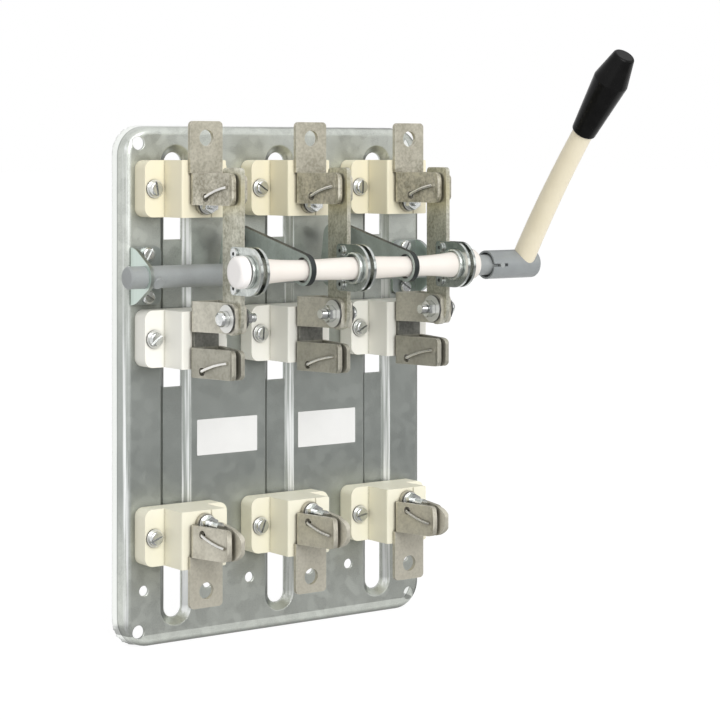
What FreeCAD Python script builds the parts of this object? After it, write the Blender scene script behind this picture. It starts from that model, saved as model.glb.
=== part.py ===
"""Three-pole knife switch with fuse jaws on a pressed back plate, side handle at the right.

Millimetres, +Z up. The front faces -Y, Y = 0 is the plate's front face and the wall is
RIM_DEPTH behind it. X = 0 is the middle pole. The switch is drawn closed, with its knives
in the top jaws.
"""
import math
import os

import FreeCAD, Part
from FreeCAD import Vector

# Back plate
POLE_PITCH = 84.0
PLATE_SIDE = 39.0
PLATE_H = 347.0
PLATE_T = 1.8
RIM_DEPTH = 15.5
RIM_FLARE = 1.5
PLATE_CORNER_R = 19.0
PLATE_EDGE_R = 5.0
MOUNT_INSET_X = 10.0
MOUNT_INSET_Z = 10.5
MOUNT_HOLE_R = 4.5
CHANNEL_W = 24.0
CHANNEL_FLOOR_W = 15.0
CHANNEL_DEPTH = 4.5
CHANNEL_INSET = 11.5
SLOT_W = 14.0
SLOT_INSET = 5.0
SLOT_TOP_DROP = 34.7
SLOT_MIDDLE_RISE = 11.0
SLOT_MIDDLE_DROP = 34.5
SLOT_BOTTOM_RISE = 16.3
SPARE_HOLE_DROP = 37.2
SPARE_HOLE_R = 3.5

# Rows of insulators
TOP_Z = 132.7
MIDDLE_Z = 33.0
BOTTOM_Z = -98.8
INSULATOR_H = 38.0
INSULATOR_W = 64.0
FLANGE_T = 13.6
BLOCK_W = 34.0
BLOCK_DEPTH = 36.0
FLANGE_CORNER_R = 6.0
BLOCK_CORNER_R = 1.2
MOULD_EDGE_R = 1.2
FLANGE_SCREW_X = 25.0
GROOVE_X = 5.5
GROOVE_W = 1.2
GROOVE_DEPTH = 0.6

# Contacts, folded from one copper sheet
SHEET_T = 3.0
CONTACT_W = 25.0
JAW_H = 21.0
JAW_FOLD_R = 2.6
PINCH_DEPTH = 38.0
LIP_DEPTH = 43.5
KNIFE_LIP_FLARE = 1.5
FUSE_PINCH_DEPTH = 34.5
FUSE_LIP_DEPTH = 39.7
FUSE_LIP_FLARE = 3.0
TERMINAL_END = 44.8
TERMINAL_HOLE = 33.7
TERMINAL_HOLE_R = 5.5
TERMINAL_CORNER_R = 3.0
CONTACT_BOLT_DROP = 10.3
TONGUE_R = 7.0
TOP_JAW_CORNER_R = 6.0
BOTTOM_JAW_CORNER_R = 9.5
TAB_CORNER_R = 4.5
WIRE_R = 1.0
WIRE_HOLE_R = 2.75
WIRE_HOLE_DEPTH = 13.0
TOP_WIRE_HOLE_DEPTH = 16.5
WIRE_HOLE_DROP = 5.5
WIRE_BEND = 1.6
SPRING_STEPS = 4
SPRING_TIP_BACK = 1.5
SPRING_TIP_RISE = 1.5
SPRING_BOW = 0.15
HINGE_TAB_H = 20.0
FUSE_TAB_H = 19.5
HINGE_CONTACT_TOP = 26.0
HINGE_CONTACT_BOTTOM = -24.0
HINGE_FLAT_DEPTH = 26.0
HINGE_LIP_DEPTH = 44.5
MIDDLE_PINCH_DEPTH = 38.0
MIDDLE_LIP_DEPTH = 42.0
MIDDLE_LIP_FLARE = 1.0
NECK_W = 19.0
MIDDLE_BOLT_Z = 11.9

# Knives and their bar
BLADE_T = 2.9
BLADE_W = 22.0
BLADE_RISE = 14.0
BLADE_TIP_R = 3.0
BLADE_BACK = 61.0
BAR_FRONT = 94.0
BAR_Z = 80.2
BAR_OVERHANG = 14.0
BAR_END_R = 10.6
BAR_COLLAR_R = 8.6
BAR_NECK_R = 6.7
BAR_MIDDLE_R = 7.6
CLAMP_T = 2.0
CLAMP_R = 15.6
CLAMP_BACK = 73.6
CLAMP_COLLAR_R = 10.6
CLAMP_COLLAR_L = 2.6
CLAMP_LIP_R = 1.2
CLAMP_CORNER_R = 3.0
BULB_STEP = 1.0
BULB_CROWN = 3.5
BULB_ARC_SHARE = 0.7
BULB_PLAY = 0.3
RIVET_FRONT = 79.3
RIVET_Z_OFF = 11.2
RIVET_R = 2.4
RIVET_HEAD_R = 3.6
RIVET_HEAD_T = 1.6
RIVET_BORE_R = 1.2

# Shaft, cranks and links
SHAFT_FRONT = 18.5
SHAFT_Z = 74.5
SHAFT_R = 7.5
SHAFT_STUB = 9.8
SHAFT_REACH = 69.0
SHAFT_CHAMFER = 1.0
CRANK_BACKSET = 2.0
CRANK_RISE = 24.0
CRANK_T = 4.0
CRANK_TIP_R = 8.6
CRANK_ROOT_R = 10.6
CRANK_STEP = 10.0
LINK_SIDE_X = 41.0
LINK_T = 4.0
LINK_EYE_R = 10.4
LINK_EYE_PLAY = 1.6
PIN_R = 4.0
PIN_HEAD_R = 5.6
PIN_HEAD_T = 1.8

# Bearing brackets
BRACKET_INSET = 3.0
BRACKET_T = 2.5
BRACKET_FOOT_W = 23.0
BRACKET_H = 38.5
BRACKET_NOSE_R = 10.0
BRACKET_NOSE_BASE = 1.0
BRACKET_BEND_R = 2.0
BRACKET_SCREW_INSET = 12.5
BRACKET_SCREW_Z = 14.2
BRACKET_CORNER_R = 4.0
STOP_PIN_R = 2.0
STOP_PIN_INSET = 7.1
STOP_PIN_TURN = 28.0
STOP_HEAD_R = 4.2
STOP_HEAD_PROUD = 1.6
STOP_HEAD_EDGE_R = 0.8

# Handle
HUB_ON_SHAFT = 22.0
HUB_LENGTH = 46.0
HUB_R = 10.5
HUB_BELL_R = 9.1
HUB_BELL_DEPTH = 5.0
HUB_SLOT_L = 13.0
HUB_SLOT_W = 2.2
HUB_END_R = 3.0
HUB_PIN_INSET = 8.0
HANDLE_INSET = 12.0
ROD_FOOT_R = 8.5
ROD_TOP_R = 7.5
ROD_LENGTH = 119.0
ROD_TILT_START = 32.0
ROD_TILT_END = 39.0
ROD_IN_GRIP = 38.0
GRIP_LENGTH = 69.5
GRIP_WIDE_AT = 47.0
GRIP_FOOT_R = 8.9
GRIP_WIDE_R = 12.8
GRIP_TIP_R = 7.7
GRIP_EDGE_R = 2.0

# Fasteners
M5_R = 2.5
M5_HEAD_R = 4.9
M5_HEAD_H = 3.2
M5_SLOT_W = 1.3
M5_SLOT_DEPTH = 1.5
M5_WASHER_R = 6.1
M5_WASHER_T = 1.2
M5_NUT_AF = 8.0
M5_NUT_H = 4.0
M5_TAIL = 2.0
M6_R = 3.0
M6_NUT_AF = 10.0
M6_NUT_H = 5.0
M6_HEAD_H = 4.0
M6_HEAD_SINK = 1.0
M6_DOME_R = 5.2
M6_WASHER_R = 6.2
M6_WASHER_T = 1.5
M6_TAIL = 11.0
M6_TAIL_SHORT = 3.0
HINGE_WASHER_R = 9.2
HINGE_HEAD_H = 6.5
HINGE_TAIL = 5.0

# Clearances
HOLE_PLAY = 0.3
RUNNING_PLAY = 0.05
BORE_PLAY = 0.02
FUSE_GAP_HALF = 1.0

# Places worked out from the sizes above
FACE_Y = 0.0
BACK_Y = FACE_Y + RIM_DEPTH
POLES = (-POLE_PITCH, 0.0, POLE_PITCH)
PLATE_W = 2 * (POLE_PITCH + PLATE_SIDE)
MOUNT_X = PLATE_W / 2 - MOUNT_INSET_X
MOUNT_Z = PLATE_H / 2 - MOUNT_INSET_Z
CHANNEL_END_Z = PLATE_H / 2 - CHANNEL_INSET
SLOT_END_Z = CHANNEL_END_Z - SLOT_INSET
SLOT_SPAN_TOP = (TOP_Z - SLOT_TOP_DROP, SLOT_END_Z)
SLOT_SPAN_MIDDLE = (MIDDLE_Z - SLOT_MIDDLE_DROP, MIDDLE_Z + SLOT_MIDDLE_RISE)
SLOT_SPAN_BOTTOM = (-SLOT_END_Z, BOTTOM_Z + SLOT_BOTTOM_RISE)
SPARE_HOLE_Z = BOTTOM_Z - SPARE_HOLE_DROP
SEAT_Y = FACE_Y - BLOCK_DEPTH
SHEET_FRONT_Y = SEAT_Y - SHEET_T
BLADE_Y = FACE_Y - BLADE_BACK - BLADE_W / 2
BLADE_TOP_Z = TOP_Z + BLADE_RISE
GAP_HALF = BLADE_T / 2 + RUNNING_PLAY
CHEEK_MID = GAP_HALF + SHEET_T / 2
CHEEK_OUT = GAP_HALF + SHEET_T
PIVOT_Y = BLADE_Y
PIVOT_Z = MIDDLE_Z + HINGE_CONTACT_TOP - HINGE_TAB_H / 2
SHAFT_Y = FACE_Y - SHAFT_FRONT
SHAFT_LEFT = -PLATE_W / 2 - SHAFT_STUB
SHAFT_RIGHT = PLATE_W / 2 + SHAFT_REACH
BRACKET_X = PLATE_W / 2 - BRACKET_INSET
BRACKET_SCREW_X = BRACKET_X - BRACKET_SCREW_INSET
STOP_PIN_X = BRACKET_X - STOP_PIN_INSET
HUB_LEFT = SHAFT_RIGHT - HUB_ON_SHAFT
HUB_RIGHT = HUB_LEFT + HUB_LENGTH
HUB_PIN_X = HUB_LEFT + HUB_PIN_INSET
HANDLE_X = HUB_RIGHT - HANDLE_INSET
BAR_Y = FACE_Y - BAR_FRONT
BAR_HALF = POLE_PITCH + BAR_OVERHANG
CLAMP_SEAT = BLADE_T / 2 + CLAMP_T + CLAMP_COLLAR_L + BULB_PLAY
CRANK_Y = SHAFT_Y - CRANK_BACKSET
CRANK_Z = SHAFT_Z + CRANK_RISE
LINKS = (LINK_SIDE_X - POLE_PITCH, LINK_SIDE_X)
X_AXIS = Vector(1, 0, 0)
Y_AXIS = Vector(0, 1, 0)
Z_AXIS = Vector(0, 0, 1)


def box(x0, x1, y0, y1, z0, z1):
    """Returns a block between two corners."""
    return Part.makeBox(x1 - x0, y1 - y0, z1 - z0, Vector(x0, y0, z0))


def rod_x(radius, x0, x1, y, z):
    """Returns a round bar along X."""
    return Part.makeCylinder(radius, x1 - x0, Vector(x0, y, z), X_AXIS)


def rod_y(radius, x, z, y0, y1):
    """Returns a round bar along Y."""
    return Part.makeCylinder(radius, y1 - y0, Vector(x, y0, z), Y_AXIS)


def hexagon(across_flats, centre, axis, height):
    """Returns a hexagonal prism that starts at centre and runs along axis."""
    corner = across_flats / math.sqrt(3)
    side = Z_AXIS if abs(axis.z) < 0.5 else X_AXIS
    other = axis.cross(side)
    points = []
    for step in range(7):
        turn = math.radians(60 * step)
        points.append(centre + side * (corner * math.cos(turn)) + other * (corner * math.sin(turn)))
    return Part.Face(Part.makePolygon(points)).extrude(axis * height)


def washer(outer_r, hole_r, centre, axis, thick):
    """Returns a flat ring that starts at centre and runs along axis."""
    ring = Part.makeCylinder(outer_r, thick, centre, axis)
    return ring.cut(Part.makeCylinder(hole_r, thick, centre, axis))


def edges_along(shape, axis, keep):
    """Returns the straight edges of a shape that run along axis and pass the keep test."""
    found = []
    for edge in shape.Edges:
        if edge.Curve.TypeId != "Part::GeomLine":
            continue
        if abs(edge.tangentAt(edge.FirstParameter).dot(axis)) < 0.999:
            continue
        if keep(edge.CenterOfMass):
            found.append(edge)
    return found


def round_edges(shape, radius, axis, keep):
    """Returns the shape with the chosen straight edges rounded."""
    return shape.makeFillet(radius, edges_along(shape, axis, keep))


def rounded_plate(half_w, half_h, radius, y0, y1):
    """Returns a block with rounded corners in the XZ plane, between two Y planes."""
    block = box(-half_w, half_w, y0, y1, -half_h, half_h)
    return round_edges(block, radius, Y_AXIS, lambda point: True)


def stadium(x, half_w, half_l, y):
    """Returns a closed wire with round ends, long in Z, in the plane at y."""
    straight = half_l - half_w
    left_low = Vector(x - half_w, y, -straight)
    left_high = Vector(x - half_w, y, straight)
    right_high = Vector(x + half_w, y, straight)
    right_low = Vector(x + half_w, y, -straight)
    top = Part.Arc(left_high, Vector(x, y, half_l), right_high).toShape()
    bottom = Part.Arc(right_low, Vector(x, y, -half_l), left_low).toShape()
    left = Part.makeLine(left_low, left_high)
    right = Part.makeLine(right_high, right_low)
    return Part.Wire([left, top, right, bottom])


def hull_of_circles(first, first_r, second, second_r, x0, x1):
    """Returns a plate in a YZ plane: two discs joined by their outer tangents."""
    span = second - first
    length = span.Length
    along = span * (1 / length)
    across = X_AXIS.cross(along)
    lean = (first_r - second_r) / length
    flat = math.sqrt(1 - lean * lean)
    up = along * lean + across * flat
    down = along * lean - across * flat
    place = Vector(x0, 0, 0)
    a_up = place + first + up * first_r
    a_down = place + first + down * first_r
    b_up = place + second + up * second_r
    b_down = place + second + down * second_r
    a_back = place + first - along * first_r
    b_far = place + second + along * second_r
    wire = Part.Wire([
        Part.makeLine(a_up, b_up),
        Part.Arc(b_up, b_far, b_down).toShape(),
        Part.makeLine(b_down, a_down),
        Part.Arc(a_down, a_back, a_up).toShape(),
    ])
    return Part.Face(wire).extrude(X_AXIS * (x1 - x0))


def bent_path(points, radius):
    """Returns the edges of a path through points, with every corner rounded."""
    edges = []
    start = points[0]
    for here, after in zip(points[1:-1], points[2:]):
        back = (start - here).normalize()
        onward = (after - here).normalize()
        angle = back.getAngle(onward)
        reach = radius / math.tan(angle / 2)
        enter = here + back * reach
        leave = here + onward * reach
        middle = (back + onward).normalize()
        centre = here + middle * (radius / math.sin(angle / 2))
        edges.append(Part.makeLine(start, enter))
        edges.append(Part.Arc(enter, centre - middle * radius, leave).toShape())
        start = leave
    edges.append(Part.makeLine(start, points[-1]))
    return edges


def sheet_strip(points, radius, thick, z0, z1):
    """Returns a folded sheet that stands along Z and follows a path in the XY plane."""
    path = Part.Wire(bent_path([Vector(x, y, z0) for x, y in points], radius))
    first = path.Edges[0]
    heading = first.tangentAt(first.FirstParameter)
    side = heading.cross(Z_AXIS) * (thick / 2)
    start = path.Vertexes[0].Point
    rise = Z_AXIS * (z1 - z0)
    profile = Part.makePolygon([start + side, start - side, start - side + rise,
                                start + side + rise, start + side])
    return path.makePipeShell([profile], True, True)


def side_outline(y_back, y_front, z0, z1, radius, half_w):
    """Returns a block whose two front corners are rounded in the YZ plane."""
    block = box(-half_w, half_w, y_front, y_back, z0, z1)
    return round_edges(block, radius, X_AXIS, lambda point: abs(point.y - y_front) < 0.01)


def tray_outline(grow, y):
    """Returns the plate's outline as a closed wire at y, larger by grow all round."""
    slab = rounded_plate(PLATE_W / 2 + grow, PLATE_H / 2 + grow, PLATE_CORNER_R + grow,
                         y, y + PLATE_T)
    faces = [face for face in slab.Faces if abs(face.BoundBox.YMax - y) < 0.001]
    return faces[0].OuterWire


def tray_block(inset, y0, edge_r):
    """Returns the solid within the tray's skin at inset, its front edge rounded."""
    wires = []
    for y in (y0, BACK_Y):
        grow = RIM_FLARE * (y - FACE_Y) / RIM_DEPTH - inset
        wires.append(tray_outline(grow, y))
    block = Part.makeLoft(wires, True, True)
    front = [edge for edge in block.Edges if abs(edge.BoundBox.YMax - y0) < 0.001]
    return block.makeFillet(edge_r, front)


def mounting_plate():
    """Returns the pressed tray with its three channels, slots and holes."""
    outer = tray_block(0, FACE_Y, PLATE_EDGE_R)
    inner = tray_block(PLATE_T, FACE_Y + PLATE_T, PLATE_EDGE_R - PLATE_T)
    plate = outer.cut(inner)
    floor_y = FACE_Y + CHANNEL_DEPTH
    wall = (CHANNEL_W - CHANNEL_FLOOR_W) / 2
    for x in POLES:
        back = Part.makeLoft([
            stadium(x, CHANNEL_W / 2 + PLATE_T / 2, CHANNEL_END_Z + PLATE_T / 2, FACE_Y + PLATE_T / 2),
            stadium(x, CHANNEL_FLOOR_W / 2 + PLATE_T / 2, CHANNEL_END_Z - wall + PLATE_T / 2,
                    floor_y + PLATE_T),
        ], True, True)
        front_recess = Part.makeLoft([
            stadium(x, CHANNEL_W / 2, CHANNEL_END_Z, FACE_Y),
            stadium(x, CHANNEL_FLOOR_W / 2, CHANNEL_END_Z - wall, floor_y),
        ], True, True)
        plate = plate.fuse(back).cut(front_recess)
        for span in (SLOT_SPAN_TOP, SLOT_SPAN_MIDDLE, SLOT_SPAN_BOTTOM):
            plate = plate.cut(slot(x, span))
    return plate.cut(Part.makeCompound(plate_holes()))


def slot(x, span):
    """Returns the cutter of one slot, round at the channel's end and square elsewhere."""
    low, high = span
    half = SLOT_W / 2
    round_low = abs(low + SLOT_END_Z) < 0.01
    round_high = abs(high - SLOT_END_Z) < 0.01
    body = box(x - half, x + half, FACE_Y, BACK_Y,
               low + (half if round_low else 0), high - (half if round_high else 0))
    if round_low:
        body = body.fuse(rod_y(half, x, low + half, FACE_Y, BACK_Y))
    if round_high:
        body = body.fuse(rod_y(half, x, high - half, FACE_Y, BACK_Y))
    return body


def plate_holes():
    """Returns the cutters of all round holes in the plate."""
    cutters = []
    for side in (-1, 1):
        for level in (-1, 1):
            cutters.append(rod_y(MOUNT_HOLE_R, side * MOUNT_X, level * MOUNT_Z, FACE_Y, BACK_Y))
    for x in POLES:
        for side in (-1, 1):
            cutters.append(rod_y(SPARE_HOLE_R, x + side * FLANGE_SCREW_X, SPARE_HOLE_Z, FACE_Y, BACK_Y))
    for x, z in flange_screw_places() + bracket_screw_places():
        cutters.append(rod_y(M5_R + HOLE_PLAY, x, z, FACE_Y, BACK_Y))
    return cutters


def flange_screw_places():
    """Returns the X and Z of every screw that holds an insulator."""
    places = []
    for x in POLES:
        for z in (TOP_Z, MIDDLE_Z, BOTTOM_Z):
            places.append((x - FLANGE_SCREW_X, z))
            places.append((x + FLANGE_SCREW_X, z))
    return places


def bracket_screw_places():
    """Returns the X and Z of every screw that holds a bearing bracket."""
    places = []
    for x in (-BRACKET_SCREW_X, BRACKET_SCREW_X):
        places.append((x, SHAFT_Z - BRACKET_SCREW_Z))
        places.append((x, SHAFT_Z + BRACKET_SCREW_Z))
    return places


def contact_bolt_places():
    """Returns the X, Z and thread length past the nut of every contact bolt."""
    places = []
    for x in POLES:
        places.append((x, TOP_Z - CONTACT_BOLT_DROP, M6_TAIL_SHORT))
        places.append((x, MIDDLE_Z + MIDDLE_BOLT_Z, M6_TAIL_SHORT))
        places.append((x, MIDDLE_Z - MIDDLE_BOLT_Z, M6_TAIL_SHORT))
        places.append((x, BOTTOM_Z + CONTACT_BOLT_DROP, M6_TAIL))
    return places


def insulator(x, z, bolt_levels):
    """Returns one moulded hat-shaped insulator with its screw holes and bolt pockets."""
    half_w = INSULATOR_W / 2
    half_b = BLOCK_W / 2
    outline = [(-half_w, FACE_Y), (-half_w, FACE_Y - FLANGE_T), (-half_b, FACE_Y - FLANGE_T),
               (-half_b, SEAT_Y), (half_b, SEAT_Y), (half_b, FACE_Y - FLANGE_T),
               (half_w, FACE_Y - FLANGE_T), (half_w, FACE_Y), (-half_w, FACE_Y)]
    low = z - INSULATOR_H / 2
    face = Part.Face(Part.makePolygon([Vector(x + dx, y, low) for dx, y in outline]))
    body = face.extrude(Z_AXIS * INSULATOR_H)
    body = round_edges(body, FLANGE_CORNER_R, Y_AXIS, lambda point: abs(point.x - x) > half_w - 0.1)
    body = round_edges(body, BLOCK_CORNER_R, Y_AXIS,
                       lambda point: abs(point.x - x - half_b) < 0.1 and point.y < FACE_Y - FLANGE_T)
    body = round_edges(body, MOULD_EDGE_R, Z_AXIS,
                       lambda point: abs(point.x - x + half_b) < 0.1 and point.y < SEAT_Y + 0.1)
    body = body.cut(box(x + GROOVE_X - GROOVE_W / 2, x + GROOVE_X + GROOVE_W / 2,
                        SEAT_Y, SEAT_Y + GROOVE_DEPTH, low, low + INSULATOR_H))
    for side in (-1, 1):
        hole = rod_y(M5_R + HOLE_PLAY, x + side * FLANGE_SCREW_X, z, FACE_Y - FLANGE_T, FACE_Y)
        body = body.cut(hole)
    pocket_r = M6_NUT_AF / math.sqrt(3) + HOLE_PLAY
    for level in bolt_levels:
        body = body.cut(rod_y(M6_R + HOLE_PLAY, x, level, SEAT_Y, FACE_Y))
        body = body.cut(rod_y(pocket_r, x, level, FACE_Y - M6_HEAD_H - M6_HEAD_SINK, FACE_Y))
    return body


def jaw_path(gap_half, pinch_depth, lip_depth, flare):
    """Returns the plan of a folded jaw pair: lip, pinch, base and back again, for X > 0 last."""
    base_y = SEAT_Y - SHEET_T / 2
    base_x = (CONTACT_W - SHEET_T) / 2
    cheek = gap_half + SHEET_T / 2
    left = [(-cheek - flare, SEAT_Y - lip_depth), (-cheek, SEAT_Y - pinch_depth),
            (-base_x, base_y)]
    return left + [(-x, y) for x, y in reversed(left)]


def wire_hole(x, z, depth):
    """Returns the cutter of the hole that the spring wire passes through, in both cheeks."""
    y = SEAT_Y - depth
    return rod_x(WIRE_HOLE_R, x - CONTACT_W / 2, x + CONTACT_W / 2, y, z)


def end_contact(z, up, path, corner_r):
    """Returns a folded jaw contact with its terminal; up is 1 above the switch, -1 below."""
    half_h = JAW_H / 2
    jaws = sheet_strip(path, JAW_FOLD_R, SHEET_T, z - half_h, z + half_h)
    lip_y = path[0][1]
    jaws = jaws.common(side_outline(SEAT_Y, lip_y, z - half_h, z + half_h, corner_r, CONTACT_W))
    end = z + up * TERMINAL_END
    near = z - up * half_h
    strap = box(-CONTACT_W / 2, CONTACT_W / 2, SHEET_FRONT_Y, SEAT_Y, min(end, near), max(end, near))
    strap = round_edges(strap, TERMINAL_CORNER_R, Y_AXIS, lambda point: abs(point.z - end) < 0.1)
    inside = CONTACT_W / 2 - JAW_FOLD_R - SHEET_T / 2
    strap = strap.cut(box(-CONTACT_W, -inside, SHEET_FRONT_Y, SEAT_Y, z - half_h, z + half_h))
    strap = strap.cut(box(inside, CONTACT_W, SHEET_FRONT_Y, SEAT_Y, z - half_h, z + half_h))
    bolt_z = z - up * CONTACT_BOLT_DROP
    tongue = rod_y(TONGUE_R, 0, bolt_z, SHEET_FRONT_Y, SEAT_Y)
    body = jaws.fuse([strap, tongue])
    body = body.cut(rod_y(M6_R + HOLE_PLAY, 0, bolt_z, SHEET_FRONT_Y, SEAT_Y))
    body = body.cut(rod_y(TERMINAL_HOLE_R, 0, z + up * TERMINAL_HOLE, SHEET_FRONT_Y, SEAT_Y))
    return body.removeSplitter()


def knife_jaw_contact(x):
    """Returns the top contact, whose jaws grip a knife."""
    path = jaw_path(GAP_HALF, PINCH_DEPTH, LIP_DEPTH, KNIFE_LIP_FLARE)
    body = end_contact(TOP_Z, 1, path, TOP_JAW_CORNER_R)
    body = body.cut(wire_hole(0, TOP_Z - WIRE_HOLE_DROP, TOP_WIRE_HOLE_DEPTH))
    body.translate(Vector(x, 0, 0))
    return body


def fuse_jaw_contact(x):
    """Returns the bottom contact, whose jaws take a fuse."""
    path = jaw_path(FUSE_GAP_HALF, FUSE_PINCH_DEPTH, FUSE_LIP_DEPTH, FUSE_LIP_FLARE)
    body = end_contact(BOTTOM_Z, -1, path, BOTTOM_JAW_CORNER_R)
    body = body.cut(wire_hole(0, BOTTOM_Z + WIRE_HOLE_DROP, WIRE_HOLE_DEPTH))
    body.translate(Vector(x, 0, 0))
    return body


def hinge_path():
    """Returns the plan of the hinge tabs, whose front parts lie flat on the knife."""
    base_y = SEAT_Y - SHEET_T / 2
    base_x = (CONTACT_W - SHEET_T) / 2
    left = [(-CHEEK_MID, SEAT_Y - HINGE_LIP_DEPTH), (-CHEEK_MID, SEAT_Y - HINGE_FLAT_DEPTH),
            (-base_x, base_y)]
    return left + [(-x, y) for x, y in reversed(left)]


def hinge_contact(x):
    """Returns the middle contact: hinge tabs above, fuse jaws below, one folded sheet."""
    top = MIDDLE_Z + HINGE_CONTACT_TOP
    bottom = MIDDLE_Z + HINGE_CONTACT_BOTTOM
    tabs = sheet_strip(hinge_path(), JAW_FOLD_R, SHEET_T, top - HINGE_TAB_H, top)
    tabs = tabs.common(side_outline(SEAT_Y, SEAT_Y - HINGE_LIP_DEPTH, top - HINGE_TAB_H, top,
                                    TAB_CORNER_R, CONTACT_W))
    path = jaw_path(FUSE_GAP_HALF, MIDDLE_PINCH_DEPTH, MIDDLE_LIP_DEPTH, MIDDLE_LIP_FLARE)
    jaws = sheet_strip(path, JAW_FOLD_R, SHEET_T, bottom, bottom + FUSE_TAB_H)
    jaws = jaws.common(side_outline(SEAT_Y, SEAT_Y - MIDDLE_LIP_DEPTH, bottom,
                                    bottom + FUSE_TAB_H, TAB_CORNER_R, CONTACT_W))
    neck = box(-NECK_W / 2, NECK_W / 2, SHEET_FRONT_Y, SEAT_Y, bottom, top)
    body = tabs.fuse([jaws, neck])
    for side in (-1, 1):
        body = body.cut(rod_y(M6_R + HOLE_PLAY, 0, MIDDLE_Z + side * MIDDLE_BOLT_Z,
                              SHEET_FRONT_Y, SEAT_Y))
    body = body.cut(rod_x(M6_R + HOLE_PLAY, -CONTACT_W, CONTACT_W, PIVOT_Y, PIVOT_Z))
    body = body.cut(wire_hole(0, bottom + FUSE_TAB_H / 2 - WIRE_HOLE_DROP, WIRE_HOLE_DEPTH))
    body = body.removeSplitter()
    body.translate(Vector(x, 0, 0))
    return body


def spring_path(hole, tip, bow):
    """Returns the spring wire's path in YZ steps: a line of points that leaves the hole steeply."""
    points = []
    for step in range(SPRING_STEPS + 1):
        share = step / SPRING_STEPS
        rise = share + bow * math.sin(math.pi * share)
        points.append((hole[0] + (tip[0] - hole[0]) * share, hole[1] + (tip[1] - hole[1]) * rise))
    return points


def jaw_spring(x, hole_z, tip_z, hole_depth, gap_half, pinch_depth):
    """Returns the spring wire: through both cheeks, then bowed forward along each to the pinch."""
    cheek_out = gap_half + SHEET_T
    slope = (CONTACT_W / 2 - cheek_out) / (pinch_depth - SHEET_T)
    off = (WIRE_R + BORE_PLAY) / math.cos(math.atan(slope))
    hole_y = SEAT_Y - hole_depth
    tip_y = SEAT_Y - pinch_depth + SPRING_TIP_BACK
    side = []
    for y, z in spring_path((hole_y, hole_z), (tip_y, tip_z), SPRING_BOW):
        away = cheek_out + slope * (pinch_depth - (SEAT_Y - y)) + off
        side.append((away, y, z))
    left = [Vector(x - away, y, z) for away, y, z in reversed(side)]
    right = [Vector(x + away, y, z) for away, y, z in side]
    path = Part.Wire(bent_path(left + right, WIRE_R * WIRE_BEND))
    heading = path.Edges[0].tangentAt(path.Edges[0].FirstParameter)
    section = Part.Wire(Part.makeCircle(WIRE_R, left[0], heading))
    return path.makePipeShell([section], True, True)


def slotted_screw(x, z, seat_y, tail_y):
    """Returns a pan-head screw with a driver slot, its shank running back into the plate."""
    head = rod_y(M5_HEAD_R, x, z, seat_y - M5_HEAD_H, seat_y)
    rim = [edge for edge in head.Edges if abs(edge.BoundBox.YMax - seat_y + M5_HEAD_H) < 0.01]
    head = head.makeFillet(M5_HEAD_H / 2, rim)
    top = seat_y - M5_HEAD_H
    groove = box(x - M5_HEAD_R, x + M5_HEAD_R, top, top + M5_SLOT_DEPTH,
                 z - M5_SLOT_W / 2, z + M5_SLOT_W / 2)
    groove.rotate(Vector(x, top, z), Y_AXIS, screw_turn(x, z))
    shank = rod_y(M5_R, x, z, seat_y, tail_y)
    return head.cut(groove).fuse(shank)


def screw_turn(x, z):
    """Returns the angle at which a screw's slot came to rest, different for each screw."""
    return (abs(x) * 7 + abs(z) * 3) % 180


def slotted_screws():
    """Returns all small screws, in insulator flanges and in bracket feet."""
    tail = FACE_Y + PLATE_T + M5_NUT_H + M5_TAIL
    screws = [slotted_screw(x, z, FACE_Y - FLANGE_T - M5_WASHER_T, tail)
              for x, z in flange_screw_places()]
    screws += [slotted_screw(x, z, FACE_Y - BRACKET_T, tail) for x, z in bracket_screw_places()]
    return Part.makeCompound(screws)


def small_washers():
    """Returns the washers under the flange screws."""
    start_y = FACE_Y - FLANGE_T - M5_WASHER_T
    return Part.makeCompound([washer(M5_WASHER_R, M5_R + BORE_PLAY, Vector(x, start_y, z), Y_AXIS,
                                     M5_WASHER_T) for x, z in flange_screw_places()])


def plate_nuts():
    """Returns the nuts behind the plate, one on each small screw."""
    nuts = []
    for x, z in flange_screw_places() + bracket_screw_places():
        seat = Vector(x, FACE_Y + PLATE_T, z)
        nut = hexagon(M5_NUT_AF, seat, Y_AXIS, M5_NUT_H)
        nuts.append(nut.cut(Part.makeCylinder(M5_R + BORE_PLAY, M5_NUT_H, seat, Y_AXIS)))
    return Part.makeCompound(nuts)


def contact_bolts():
    """Returns the bolts that hold the contacts, their heads in the insulators' back pockets."""
    bolts = []
    nut_front = SHEET_FRONT_Y - M6_WASHER_T - M6_NUT_H
    head_front = FACE_Y - M6_HEAD_H - M6_HEAD_SINK
    for x, z, tail in contact_bolt_places():
        head = hexagon(M6_NUT_AF, Vector(x, head_front, z), Y_AXIS, M6_HEAD_H)
        bolts.append(head.fuse(rod_y(M6_R, x, z, nut_front - tail, head_front)))
    return Part.makeCompound(bolts)


def contact_washers():
    """Returns the washers on the contact bolts."""
    start_y = SHEET_FRONT_Y - M6_WASHER_T
    return Part.makeCompound([washer(M6_WASHER_R, M6_R + BORE_PLAY, Vector(x, start_y, z), Y_AXIS,
                                     M6_WASHER_T) for x, z, tail in contact_bolt_places()])


def contact_nuts():
    """Returns the nuts on the contact bolts."""
    nuts = []
    for x, z, tail in contact_bolt_places():
        seat = Vector(x, SHEET_FRONT_Y - M6_WASHER_T - M6_NUT_H, z)
        nut = hexagon(M6_NUT_AF, seat, Y_AXIS, M6_NUT_H)
        nuts.append(nut.cut(Part.makeCylinder(M6_R + BORE_PLAY, M6_NUT_H, seat, Y_AXIS)))
    return Part.makeCompound(nuts)


def hinge_hand(x):
    """Returns 1 where the hinge bolt goes in from the left, -1 from the right."""
    return 1 if x < 0 else -1


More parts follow.
